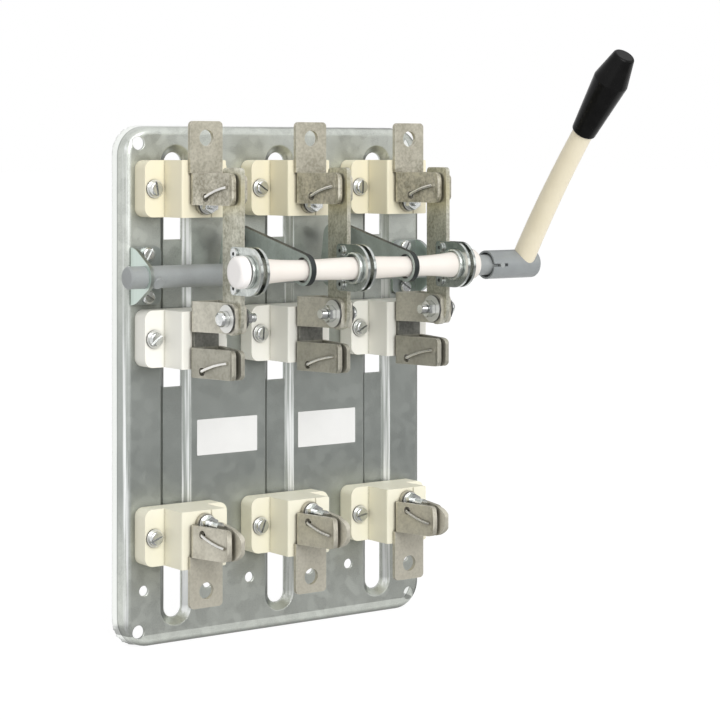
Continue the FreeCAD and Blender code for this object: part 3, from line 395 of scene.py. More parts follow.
def cut_group(turn_span: Range = (0.45, 0.75)) -> bpy.types.NodeTree:
    """Builds the group that marks the cut edges of plates that stand square to X.

    Args:
        turn_span: the normal's share along X, from cut edge to plate face.

    Returns:
        The group.
    """
    graph, _, out = new_group("cut_edges", {}, {"Mask": FLOAT})
    split = graph.node("ShaderNodeSeparateXYZ")
    graph.link(graph.normal(), split.inputs[0])
    graph.link(graph.span(graph.math("ABSOLUTE", split.outputs["X"]), *turn_span, 1.0, 0.0), out["Mask"])
    return graph.tree


def crevice_shade_group(open_span: Range = (0.15, 0.8)) -> bpy.types.NodeTree:
    """Builds the group that marks places close to another surface, for the painted shade that falls there.

    Args:
        open_span: how open a place is, from full mark to none.

    Returns:
        The group.
    """
    graph, given, out = new_group("crevice_shade", {"Distance": (FLOAT, 0.004)}, {"Mask": FLOAT})
    near = graph.node("ShaderNodeAmbientOcclusion", samples=6)
    graph.link(given["Distance"], near.inputs["Distance"])
    graph.link(graph.span(near.outputs["AO"], *open_span, 1.0, 0.0), out["Mask"])
    return graph.tree


def facing_group(streak_span: Range = (0.42, 0.6), streak_scale: float = 520.0,
                 stretch: Point = (1.0, 1.0, 0.02)) -> bpy.types.NodeTree:
    """Builds the group that marks the faces turned towards a direction, in streaks rolled along Z, for
    painted highlights and painted shade on them.

    Args:
        streak_span: the noise levels between which a gap in the mark closes.
        streak_scale: the scale of the streaks' noise.
        stretch: what the place is multiplied by, less along the streaks.

    Returns:
        The group.
    """
    graph, given, out = new_group(
        "facing",
        {"Direction": (VECTOR, (-1, 0, 0)), "Low": (FLOAT, 0.85), "High": (FLOAT, 0.97),
         "Streaks": (FLOAT, 1.0)},
        {"Mask": FLOAT})
    towards = graph.vector("DOT_PRODUCT", graph.normal(), given["Direction"])
    turned = graph.span(towards, given["Low"], given["High"])
    noise = graph.noise(graph.vector("MULTIPLY", graph.place(), stretch), streak_scale, Detail=3.0)
    gaps = graph.math("MULTIPLY", graph.span(noise, *streak_span, 1.0, 0.0), given["Streaks"])
    graph.link(graph.math("MULTIPLY", graph.math("SUBTRACT", 1.0, gaps), turned), out["Mask"])
    return graph.tree


@dataclass(frozen=True)
class Kit:
    """Holds the shader groups, built once for all finishes."""

    mottle: bpy.types.NodeTree = field(default_factory=mottle_group)
    grain: bpy.types.NodeTree = field(default_factory=grain_group)
    edges: bpy.types.NodeTree = field(default_factory=edge_group)
    spangle: bpy.types.NodeTree = field(default_factory=spangle_group)
    zone: bpy.types.NodeTree = field(default_factory=zone_group)
    cut: bpy.types.NodeTree = field(default_factory=cut_group)
    crevice_shade: bpy.types.NodeTree = field(default_factory=crevice_shade_group)
    facing: bpy.types.NodeTree = field(default_factory=facing_group)


UP: Point = (0.0, 0.0, 1.0)
RIGHT: Point = (1.0, 0.0, 0.0)
LEFT: Point = (-1.0, 0.0, 0.0)
FRONT: Point = (0.0, -1.0, 0.0)
BACK: Point = (0.0, 1.0, 0.0)
FRONT_LEFT: Point = (-0.7071, -0.7071, 0.0)
FRONT_RIGHT: Point = (0.7071, -0.7071, 0.0)


@dataclass(frozen=True)
class Zone:
    """A band of a finish, square to an axis, with a tone of its own. Its sizes are in metres."""

    low: float
    high: float
    colour: Colour
    share: float = 0.6
    soft: float = 0.012
    warp: float = 0.02
    axis: Point = UP


@dataclass(frozen=True)
class PaintedFacing:
    """A tone painted on the faces of a finish that are turned towards a direction: a painted highlight
    where it is light, painted shade where it is dark.
    """

    direction: Point
    colour: Colour
    low: float = 0.85
    high: float = 0.97
    streaks: float = 1.0


def new_material(name: str) -> tuple[bpy.types.Material, Graph, bpy.types.Node]:
    """Makes a material with its plain shader.

    Args:
        name: the material's name.

    Returns:
        The material, its graph and its Principled BSDF.
    """
    made = bpy.data.materials.new(name)
    made.use_nodes = True
    return made, Graph(made.node_tree), made.node_tree.nodes["Principled BSDF"]


@dataclass(frozen=True)
class Finish:
    """One surface finish: its colours, sheen, the size of its mottle and grain, and its painted light and
    painted shade.
    """

    name: str
    light: Colour
    dark: Colour
    metallic: float = 0.0
    roughness: float = 0.4
    rougher: float = 0.5
    cloud_scale: float = 60.0
    speck_scale: float = 900.0
    cloud: float = 0.5
    speck: float = 0.3
    wave_scale: float = 40.0
    grain_scale: float = 1200.0
    wave: float = 0.5
    grain: float = 0.5
    bump: float = 0.15
    bump_depth: float = 0.0004
    edge: Colour | None = None
    edge_radius: float = 0.0006
    edge_share: float = 0.6
    coat: float = 0.0
    coat_roughness: float = 0.15
    specular: float = 0.5
    spangled: bool = False
    spangle_span: Range = (0.2, 0.9)
    spangle_share: float = 0.5
    spangle_gain: float = 1.14
    zones: tuple[Zone, ...] = ()
    cut: Colour | None = None
    shade: Colour | None = None
    shade_reach: float = 0.004
    shade_share: float = 0.7
    rolled: float = 0.0
    painted_facings: tuple[PaintedFacing, ...] = ()

    def material(self, kit: Kit) -> bpy.types.Material:
        """Builds the finish's material.

        Args:
            kit: the shared shader groups.

        Returns:
            The material, ready to assign.
        """
        made, graph, shader = new_material(self.name)
        for name, value in (("Metallic", self.metallic), ("Coat Weight", self.coat),
                            ("Coat Roughness", self.coat_roughness),
                            ("Specular IOR Level", self.specular)):
            shader.inputs[name].default_value = value
        colour, mask = self.ground(graph, kit)
        graph.link(self.marked(graph, kit, colour), shader.inputs["Base Color"])
        graph.link(graph.span(mask, 0.0, 1.0, self.roughness, self.rougher), shader.inputs["Roughness"])
        graph.link(self.relief(graph, kit), shader.inputs["Normal"])
        return made

    def ground(self, graph: Graph, kit: Kit) -> tuple[bpy.types.NodeSocket, bpy.types.NodeSocket]:
        """Makes the finish's mottled ground, with zinc crystals where it has them.

        Args:
            graph: the material's graph.
            kit: the shared shader groups.

        Returns:
            The ground's colour, and the mask that makes its darker places rougher.
        """
        mottle = graph.group(kit.mottle, Light=rgba(self.light), Dark=rgba(self.dark),
                             Cloud_Scale=self.cloud_scale, Speck_Scale=self.speck_scale,
                             Cloud=self.cloud, Speck=self.speck)
        colour, mask = mottle.outputs["Color"], mottle.outputs["Mask"]
        if self.spangled:
            tone = graph.group(kit.spangle).outputs["Tone"]
            lighter = tuple(min(1.0, level * self.spangle_gain) for level in self.light)
            share = graph.span(tone, *self.spangle_span, 0.0, self.spangle_share)
            colour = graph.mix(share, colour, lighter)
            mask = graph.math("MULTIPLY", graph.math("ADD", mask, tone), 0.5)
        return colour, mask

    def marked(self, graph: Graph, kit: Kit, colour: bpy.types.NodeSocket) -> bpy.types.NodeSocket:
        """Lays the zones, some of them painted light and shade, the cut edges, the painted edge tone, the
        painted light and shade on turned faces and the painted shade in crevices over the ground.

        Args:
            graph: the material's graph.
            kit: the shared shader groups.
            colour: the ground's colour.

        Returns:
            The colour with all marks laid over it.
        """
        for zone in self.zones:
            band = graph.group(kit.zone, Axis=zone.axis, Low=zone.low, High=zone.high,
                               Soft=zone.soft, Warp=zone.warp).outputs["Mask"]
            colour = graph.mix(graph.math("MULTIPLY", band, zone.share), colour, zone.colour)
        if self.cut is not None:
            colour = graph.mix(graph.group(kit.cut).outputs["Mask"], colour, self.cut)
        if self.edge is not None:
            edges = graph.group(kit.edges, Radius=self.edge_radius).outputs["Mask"]
            colour = graph.mix(graph.math("MULTIPLY", edges, self.edge_share), colour, self.edge)
        for facing in self.painted_facings:
            turned = graph.group(kit.facing, Direction=facing.direction, Low=facing.low,
                                 High=facing.high, Streaks=facing.streaks)
            colour = graph.mix(turned.outputs["Mask"], colour, facing.colour)
        if self.shade is not None:
            near = graph.group(kit.crevice_shade, Distance=self.shade_reach).outputs["Mask"]
            colour = graph.mix(graph.math("MULTIPLY", near, self.shade_share), colour, self.shade)
        return colour

    def relief(self, graph: Graph, kit: Kit) -> bpy.types.NodeSocket:
        """Makes the finish's fine relief, over rolled edges where it has them.

        Args:
            graph: the material's graph.
            kit: the shared shader groups.

        Returns:
            The normal's socket.
        """
        height = graph.group(kit.grain, Wave_Scale=self.wave_scale, Grain_Scale=self.grain_scale,
                             Wave=self.wave, Grain=self.grain).outputs["Height"]
        bump = graph.node("ShaderNodeBump", Strength=self.bump, Distance=self.bump_depth)
        graph.link(height, bump.inputs["Height"])
        if self.rolled:
            rolled = graph.node("ShaderNodeBevel", samples=6, Radius=self.rolled)
            graph.link(rolled.outputs[0], bump.inputs["Normal"])
        return bump.outputs[0]


# Painted shade: a darker band over the plate's middle stands in for the darker reflections and the shade
# under the bar.
PLATE_MIDDLE_SHADE = Zone(-0.095, 0.055, (0.335, 0.36, 0.345), share=0.68, soft=0.04, warp=0.03)
# Painted shade: a darker band just above the bottom insulators stands in for a darker reflection there.
PLATE_LOW_SHADE = Zone(-0.085, -0.042, (0.26, 0.28, 0.27), share=0.35, soft=0.018)
# Painted highlight: the turned rim, beyond the bend, is painted near white for the light it catches.
PLATE_RIM_HIGHLIGHT = Zone(0.0098, 0.03, (0.96, 0.98, 0.95), share=0.9, soft=0.0005, warp=0.001, axis=BACK)
# Painted shade: a thin dark line along the bend into the rim.
PLATE_BEND_SHADE = Zone(0.0088, 0.0096, (0.16, 0.17, 0.16), share=0.6, soft=0.0004, warp=0.0012, axis=BACK)
GALVANISED = Finish(
    "galvanised_sheet", (0.61, 0.635, 0.59), (0.43, 0.45, 0.415),
    metallic=0.9, roughness=0.3, rougher=0.46, spangled=True,
    cloud_scale=80.0, cloud=0.2, speck=0.7, speck_scale=1500.0,
    bump=0.3, bump_depth=0.0003, wave_scale=18.0, rolled=0.0012,
    # Painted highlight: the sheet's outer edges are lightened.
    edge=(0.85, 0.86, 0.84), edge_share=0.6,
    zones=(PLATE_MIDDLE_SHADE, PLATE_LOW_SHADE, PLATE_RIM_HIGHLIGHT, PLATE_BEND_SHADE),
    # Painted highlight on the faces turned front left, such as the channels' right walls, and painted shade
    # on the faces turned front right.
    painted_facings=(PaintedFacing(FRONT_LEFT, (0.92, 0.94, 0.93)),
             PaintedFacing(FRONT_RIGHT, (0.16, 0.17, 0.155), low=0.8, high=0.95, streaks=0.2)),
    shade=(0.06, 0.065, 0.055), shade_reach=0.007, shade_share=0.85)

TOP_ROW_CREAM = Zone(0.09, 0.2, (0.885, 0.825, 0.62), share=0.85)
MIDDLE_ROW_CREAM = Zone(0.0, 0.07, (0.965, 0.955, 0.89), share=0.9)
CREAM = Finish(
    "cream_moulding", (0.915, 0.885, 0.73), (0.88, 0.845, 0.67), roughness=0.42, rougher=0.5,
    # Painted highlight: the moulding's outer edges are lightened.
    cloud_scale=14.0, cloud=0.7, speck=0.05, bump=0.06, edge=(0.96, 0.93, 0.78), edge_share=0.35,
    zones=(TOP_ROW_CREAM, MIDDLE_ROW_CREAM),
    shade=(0.16, 0.135, 0.08), shade_reach=0.0025, shade_share=0.8)

# Painted reflection: the bottom contacts are lightened for the brighter reflections they show.
BOTTOM_CONTACT_REFLECTION = Zone(-0.17, -0.075, (0.61, 0.58, 0.49), share=0.65)
TOP_STRAPS = Zone(0.145, 0.19, (0.47, 0.445, 0.36), share=0.5)
HINGE_CHEEKS = Zone(0.0387, 0.065, (0.66, 0.64, 0.56), share=0.6, soft=0.0005, warp=0.0)
# Painted shade: the necks between the hinge jaws and tabs are darkened for the shade that falls between
# them.
HINGE_NECK_SHADE = Zone(0.0285, 0.0387, (0.10, 0.11, 0.115), share=0.7, soft=0.0005, warp=0.0)
# Painted shade: the jaws below the hinge necks are darkened for the shade inside them.
UPPER_FUSE_JAW_SHADE = Zone(0.0, 0.0285, (0.36, 0.35, 0.295), share=0.75, soft=0.0005, warp=0.0)
COPPER = Finish(
    "tinned_copper", (0.66, 0.63, 0.525), (0.31, 0.29, 0.225),
    metallic=0.55, roughness=0.32, rougher=0.55,
    cloud_scale=95.0, cloud=0.6, speck=0.5, speck_scale=480.0,
    # Painted highlight: the copper's outer edges are lightened.
    bump=0.3, bump_depth=0.0003, grain_scale=800.0, edge=(0.84, 0.82, 0.72), edge_share=0.6,
    zones=(BOTTOM_CONTACT_REFLECTION, TOP_STRAPS, HINGE_CHEEKS, HINGE_NECK_SHADE, UPPER_FUSE_JAW_SHADE),
    shade=(0.04, 0.036, 0.026), shade_reach=0.005, shade_share=0.9)

KNIFE_SHOULDER = Zone(0.120, 0.140, (0.66, 0.60, 0.36), share=0.6, soft=0.006, warp=0.006)
KNIFE = Finish(
    "tinned_knife", (0.68, 0.67, 0.575), (0.36, 0.35, 0.275),
    metallic=0.8, roughness=0.3, rougher=0.5,
    cloud_scale=80.0, cloud=0.5, speck=0.55, speck_scale=520.0,
    # Painted highlight: the knives' outer edges are lightened.
    bump=0.22, bump_depth=0.0003, grain_scale=800.0, edge=(0.86, 0.84, 0.74), edge_share=0.6,
    zones=(KNIFE_SHOULDER,))

BRIGHT_ZINC = Finish(
    "bright_zinc", (0.80, 0.81, 0.80), (0.52, 0.54, 0.53), metallic=1.0, roughness=0.14, rougher=0.26,
    cloud_scale=200.0, cloud=0.5, speck=0.2, bump=0.12, bump_depth=0.0002,
    # Painted shade: the edges of the bright zinc parts are darkened for the dark reflections at their rims.
    edge=(0.14, 0.14, 0.14), edge_share=0.65, edge_radius=0.0004,
    shade=(0.03, 0.03, 0.03), shade_reach=0.0015, shade_share=0.85)
CLAMP_ZINC = replace(
    BRIGHT_ZINC, name="clamp_zinc", light=(0.68, 0.71, 0.68), dark=(0.42, 0.45, 0.43),
    roughness=0.18, rougher=0.3)

# Painted shade and highlight: the washers' near-black ground is painted shade, and the faces turned to the
# front are painted bright.
WASHER = Finish(
    "washer_zinc", (0.13, 0.13, 0.125), (0.08, 0.08, 0.075), metallic=0.7, roughness=0.3, rougher=0.45,
    cloud_scale=200.0, cloud=0.4, speck=0.3, bump=0.1, bump_depth=0.0002,
    painted_facings=(PaintedFacing(FRONT, (0.84, 0.84, 0.81), low=0.6, high=0.9, streaks=0.0),),
    shade=(0.03, 0.03, 0.03), shade_reach=0.0004, shade_share=0.9)
# The same painted shade, with the bright tone painted on the faces turned left and right.
HINGE_WASHER = replace(
    WASHER, name="hinge_washer_zinc",
    painted_facings=(PaintedFacing(LEFT, (0.80, 0.80, 0.77), low=0.6, high=0.9, streaks=0.0),
             PaintedFacing(RIGHT, (0.80, 0.80, 0.77), low=0.6, high=0.9, streaks=0.0)))

# Painted light: the brackets' faces turned left are painted bright over a darker ground that stands in for
# shade, and their edges are lightened as painted highlights.
BRACKET_ZINC = Finish(
    "bracket_zinc", (0.37, 0.40, 0.385), (0.28, 0.31, 0.295), metallic=0.85, roughness=0.3, rougher=0.42,
    cloud_scale=90.0, cloud=0.4, speck=0.2, bump=0.12, edge=(0.85, 0.87, 0.86),
    painted_facings=(PaintedFacing(LEFT, (0.66, 0.76, 0.70), low=0.5, high=0.8, streaks=0.1),))
LINK_ZINC = Finish(
    "dull_zinc", (0.52, 0.585, 0.55), (0.36, 0.41, 0.38), metallic=0.5, roughness=0.36, rougher=0.5,
    cloud_scale=80.0, cloud=0.5, speck=0.3, bump=0.15, cut=(0.035, 0.04, 0.04))
SPRING = Finish(
    "spring_wire", (0.82, 0.81, 0.78), (0.6, 0.59, 0.56), metallic=1.0, roughness=0.2, rougher=0.3,
    speck=0.1, bump=0.05)

SHAFT_PAINT = Finish(
    "shaft_paint", (0.36, 0.38, 0.38), (0.285, 0.30, 0.30), roughness=0.34, rougher=0.48,
    cloud_scale=50.0, cloud=0.5, speck=0.15, bump=0.2, wave_scale=260.0, bump_depth=0.0003)
HUB_PAINT = Finish(
    "hub_paint", (0.30, 0.32, 0.325), (0.24, 0.255, 0.26), roughness=0.34, rougher=0.46,
    cloud_scale=50.0, cloud=0.5, speck=0.1, bump=0.2, wave_scale=260.0, bump_depth=0.0003)
ROD_PAINT = Finish(
    "rod_paint", (0.90, 0.82, 0.63), (0.83, 0.75, 0.55), roughness=0.34, rougher=0.44,
    cloud_scale=40.0, cloud=0.4, speck=0.05, bump=0.12, wave_scale=180.0, bump_depth=0.0003)

BLACK = Finish(
    "black_moulding", (0.006, 0.006, 0.006), (0.010, 0.010, 0.010), roughness=0.16, rougher=0.24,
    cloud_scale=120.0, speck=0.1, bump=0.05, specular=0.10)
# Painted highlight: the bar's left end bulb is lightened for the light it catches from the left.
BAR_END_HIGHLIGHT = Zone(-0.11, -0.088, (0.99, 0.96, 0.94), share=0.95, soft=0.001, warp=0.0, axis=RIGHT)
BAR = Finish(
    "bar_moulding", (0.85, 0.80, 0.745), (0.82, 0.76, 0.69), roughness=0.3, rougher=0.4,
    cloud_scale=18.0, cloud=0.6, speck=0.0, bump=0.1, wave_scale=90.0, coat=0.15, zones=(BAR_END_HIGHLIGHT,))
PAPER = Finish(
    "label_paper", (0.83, 0.83, 0.82), (0.80, 0.80, 0.79), roughness=0.45, rougher=0.55,
    speck=0.1, bump=0.04)

FINISHES = (GALVANISED, CREAM, COPPER, KNIFE, BRIGHT_ZINC, CLAMP_ZINC, WASHER, HINGE_WASHER,
            BRACKET_ZINC, LINK_ZINC, SPRING, SHAFT_PAINT, HUB_PAINT, ROD_PAINT, BLACK, BAR, PAPER)
Stock = dict[Finish, bpy.types.Material]


def dress(nodes: Nodes, names: list[str], material: bpy.types.Material) -> None:
    """Gives CAD nodes a material.

    Args:
        nodes: the frame's nodes by name.
        names: the nodes to dress.
        material: what they get.
    """
    for name in names:
        slots = nodes[name].material_slots
        if not slots:
            nodes[name].data.materials.append(material)
        for slot in slots:
            slot.material = material
        LOG.info("dressed %s in %s", name, material.name)


def mesh_object(name: str, mesh: bmesh.types.BMesh, material: bpy.types.Material) -> bpy.types.Object:
    """Turns a bmesh into an object in the scene.

    Args:
        name: the object's name.
        mesh: its geometry. It is freed.
        material: its material.

    Returns:
        The new object.
    """
    data = bpy.data.meshes.new(name)
    mesh.to_mesh(data)
    mesh.free()
    data.materials.append(material)
    made = bpy.data.objects.new(name, data)
    bpy.context.scene.collection.objects.link(made)
    return made


def piece(name: str, mesh: bmesh.types.BMesh, material: bpy.types.Material, body: Body) -> None:
    """Turns a bmesh into a piece that rides on a body.

    Args:
        name: the piece's name.
        mesh: its geometry, in the part's frame. It is freed.
        material: its material.
        body: the body that carries it.
    """
    bmesh.ops.recalc_face_normals(mesh, faces=mesh.faces)
    made = mesh_object(name, mesh, material)
    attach(made, body.value)
    LOG.info("built %s on %s", name, body.value)


@dataclass
class PaperLabels:
    """Two blank paper labels on the plate's face. A label is lowest X, highest X, lowest Z, highest Z."""

    face_y: float = 0.0
    thickness: float = 0.12 * MM
    lift: float = 0.02 * MM
    left: tuple[float, float, float, float] = (-67.3 * MM, -18.6 * MM, -49.0 * MM, -24.7 * MM)
    right: tuple[float, float, float, float] = (15.7 * MM, 65.0 * MM, -49.8 * MM, -25.0 * MM)
    corner: float = 0.6 * MM
    corner_steps: int = 4

    def sheet(self, edges: tuple[float, float, float, float]) -> bmesh.types.BMesh:
        """Builds one label as a thin rounded card.

        Args:
            edges: lowest X, highest X, lowest Z, highest Z.

        Returns:
            The label's geometry.
        """
        low_x, high_x, low_z, high_z = edges
        middle_y = self.face_y - self.lift - self.thickness / 2
        middle = Vector(((low_x + high_x) / 2, middle_y, (low_z + high_z) / 2))
        size = Matrix.Diagonal((high_x - low_x, self.thickness, high_z - low_z, 1.0))
        card = bmesh.new()
        bmesh.ops.create_cube(card, size=1.0, matrix=Matrix.Translation(middle) @ size)
        upright = [e for e in card.edges if abs((e.verts[0].co - e.verts[1].co).y) > self.thickness / 2]
        bmesh.ops.bevel(card, geom=upright, offset=self.corner, segments=self.corner_steps,
                        profile=0.5, affect="EDGES")
        return card

    def build(self, material: bpy.types.Material) -> None:
        """Builds both labels.

        Args:
            material: the paper.
        """
        for name, edges in (("label_left", self.left), ("label_right", self.right)):
            piece(name, self.sheet(edges), material, Body.BASE)


@dataclass
class RimCrimps:
    """The puckered sheet at the four corners of the plate's turned rim.

    A wave is its share of the pucker, its rate round the corner and its shift from corner to corner.
    """

    centre_x: float = 104.0 * MM
    centre_z: float = 154.5 * MM
    front_radius: float = 19.0 * MM
    back_radius: float = 20.5 * MM
    depth: float = 15.5 * MM
    start: float = 8.5 * MM
    pucker: float = 0.9 * MM
    sink: float = 0.25 * MM
    end_sink: float = 0.5 * MM
    fade_power: float = 0.6
    mean_wave: float = 0.5
    waves: tuple[tuple[float, float, float], ...] = ((0.3, 34.0, 2.1), (0.2, 71.0, 1.0))
    around: int = 72
    rows: int = 8

    def swell(self, share: float, level: float, corner: int) -> float:
        """Works out how far the pucker stands off the rim.

        Args:
            share: the place round the corner, 0 to 1.
            level: the place from front to back, 0 to 1.
            corner: the corner's number, which shifts the waves.

        Returns:
            The height in metres, below zero where it sinks into the rim.
        """
        fade = math.sin(math.pi * share) ** self.fade_power
        wave = sum((part * math.sin(rate * share + shift * corner) for part, rate, shift in self.waves),
                   self.mean_wave)
        return self.pucker * fade * level * wave - self.sink * (1.0 - fade * level)

    def corner(self, mesh: bmesh.types.BMesh, side: int, up: int, number: int) -> None:
        """Adds one corner's puckered strip. Its last row turns in, below the rim's face.

        Args:
            mesh: the mesh that takes it.
            side: 1 for the right corners, -1 for the left.
            up: 1 for the upper corners, -1 for the lower.
            number: the corner's number.
        """
        grid = []
        for row in range(self.rows + 2):
            level = min(row, self.rows) / self.rows
            y = self.start + (self.depth - self.start) * level
            base = self.front_radius + (self.back_radius - self.front_radius) * y / self.depth
            line = []
            for step in range(self.around + 1):
                share = step / self.around
                swell = self.swell(share, level, number) if row <= self.rows else -self.end_sink
                turn = math.pi / 2.0 * share
                line.append(mesh.verts.new((side * (self.centre_x + (base + swell) * math.cos(turn)), y,
                                            up * (self.centre_z + (base + swell) * math.sin(turn)))))
            grid.append(line)
        for low, high in zip(grid, grid[1:]):
            for step in range(self.around):
                mesh.faces.new((low[step], low[step + 1], high[step + 1], high[step]))

    def build(self, material: bpy.types.Material) -> None:
        """Builds all four corners as one piece.

        Args:
            material: the galvanised sheet.
        """
        mesh = bmesh.new()
        for number, (side, up) in enumerate(((-1, 1), (1, 1), (1, -1), (-1, -1))):
            self.corner(mesh, side, up, number)
        for face in mesh.faces:
            face.smooth = True
        piece("rim_crimps", mesh, material, Body.BASE)


@dataclass
class Thread:
    """A screw thread that winds round a bolt's end as one ridge.

    The flank is the ridge's half width and the lead its distance from either end, in pitches.
    """

    bolt_radius: float = 3.0 * MM
    crest: float = 0.2 * MM
    sink: float = 0.05 * MM
    pitch: float = 1.0 * MM
    flank: float = 0.42
    lead: float = 0.5
    steps: int = 20

    def wind(self, mesh: bmesh.types.BMesh, start: Vector, along: Vector, length: float) -> None:
        """Adds one ridge to a mesh.

        Args:
            mesh: the mesh that takes it.
            start: where it starts, on the bolt's axis.
            along: the bolt's direction, a unit vector.
            length: how far it runs.
        """
        side = along.orthogonal().normalized()
        other = along.cross(side)
        total = int((length / self.pitch - 2.0 * self.lead) * self.steps)
        before = None
        for step in range(total + 1):
            turn = 2.0 * math.pi * step / self.steps
            out = side * math.cos(turn) + other * math.sin(turn)
            middle = start + along * (self.pitch * (self.lead + step / self.steps))
            root = out * (self.bolt_radius - self.sink)
            ring = [mesh.verts.new(middle + root - along * self.pitch * self.flank),
                    mesh.verts.new(middle + out * (self.bolt_radius + self.crest)),
                    mesh.verts.new(middle + root + along * self.pitch * self.flank)]
            if before is None:
                mesh.faces.new(ring)
            else:
                for a, b in ((0, 1), (1, 2), (2, 0)):
                    mesh.faces.new((before[a], before[b], ring[b], ring[a]))
            before = ring
        mesh.faces.new(reversed(before))


@dataclass
class Threads:
    """The threads on the ends of the hinge bolts and of the bottom contact bolts."""

    thread: Thread = field(default_factory=Thread)
    hinge_y: float = -72.0 * MM
    hinge_z: float = 49.0 * MM
    hinge_start: float = 11.0 * MM
    hinge_length: float = 5.0 * MM
    stud_y: float = -45.2 * MM
    stud_z: float = -88.5 * MM
    stud_length: float = 11.0 * MM

    def build(self, material: bpy.types.Material) -> None:
        """Builds both sets. The first pole's hinge bolt points right, the others point left.

        Args:
            material: the plated steel.
        """
        hinges, studs = bmesh.new(), bmesh.new()
        for pole in POLES:
            along = Vector(RIGHT if pole == POLES[0] else LEFT)
            axis = Vector((pole_x(pole), self.hinge_y, self.hinge_z))
            self.thread.wind(hinges, axis + along * self.hinge_start, along, self.hinge_length)
            foot = Vector((pole_x(pole), self.stud_y, self.stud_z))
            self.thread.wind(studs, foot, Vector(FRONT), self.stud_length)
        piece("hinge_threads", hinges, material, Body.BASE)
        piece("stud_threads", studs, material, Body.BASE)


@dataclass(frozen=True)
class Lamp:
    """One soft square lamp that faces the object: where it stands, its side and its power in watts."""

    name: str
    place: Point
    side: float
    power: float
    aim: Point = (0.03, -0.05, 0.0)

    def build(self) -> None:
        """Hangs the lamp."""
        data = bpy.data.lights.new(self.name, "AREA")
        data.size = self.side
        data.energy = self.power
        made = bpy.data.objects.new(self.name, data)
        made.location = self.place
        made.rotation_euler = (Vector(self.aim) - Vector(self.place)).to_track_quat("-Z", "Y").to_euler()
        bpy.context.scene.collection.objects.link(made)
        LOG.info("hung %s", self.name)


@dataclass(frozen=True)
class Card:
    """A grey card that only reflections show, as a photographer's flag.

    It faces the object, or lies flat and is turned by an angle in degrees.
    """

    name: str
    place: Point
    size: tuple[float, float]
    level: float
    flat_turn: float | None = None

    def build(self) -> None:
        """Stands or lays the card."""
        if self.flat_turn is None:
            turn = (-Vector(self.place)).to_track_quat("Z", "Y").to_matrix().to_4x4()
        else:
            turn = Matrix.Rotation(math.radians(self.flat_turn), 4, "Z")
        size = Matrix.Diagonal((*self.size, 1.0, 1.0))
        mesh = bmesh.new()
        bmesh.ops.create_grid(mesh, x_segments=1, y_segments=1, size=0.5)
        bmesh.ops.transform(mesh, verts=mesh.verts, matrix=Matrix.Translation(self.place) @ turn @ size)
        material, graph, _ = new_material(self.name)
        glow = graph.node("ShaderNodeEmission", Color=grey(self.level), Strength=1.0)
        graph.link(glow.outputs[0], material.node_tree.nodes["Material Output"].inputs[0])
        made = mesh_object(self.name, mesh, material)
        made.visible_camera = False
        made.visible_diffuse = False
        made.visible_shadow = False
        made.visible_transmission = False
        LOG.info("set up %s", self.name)


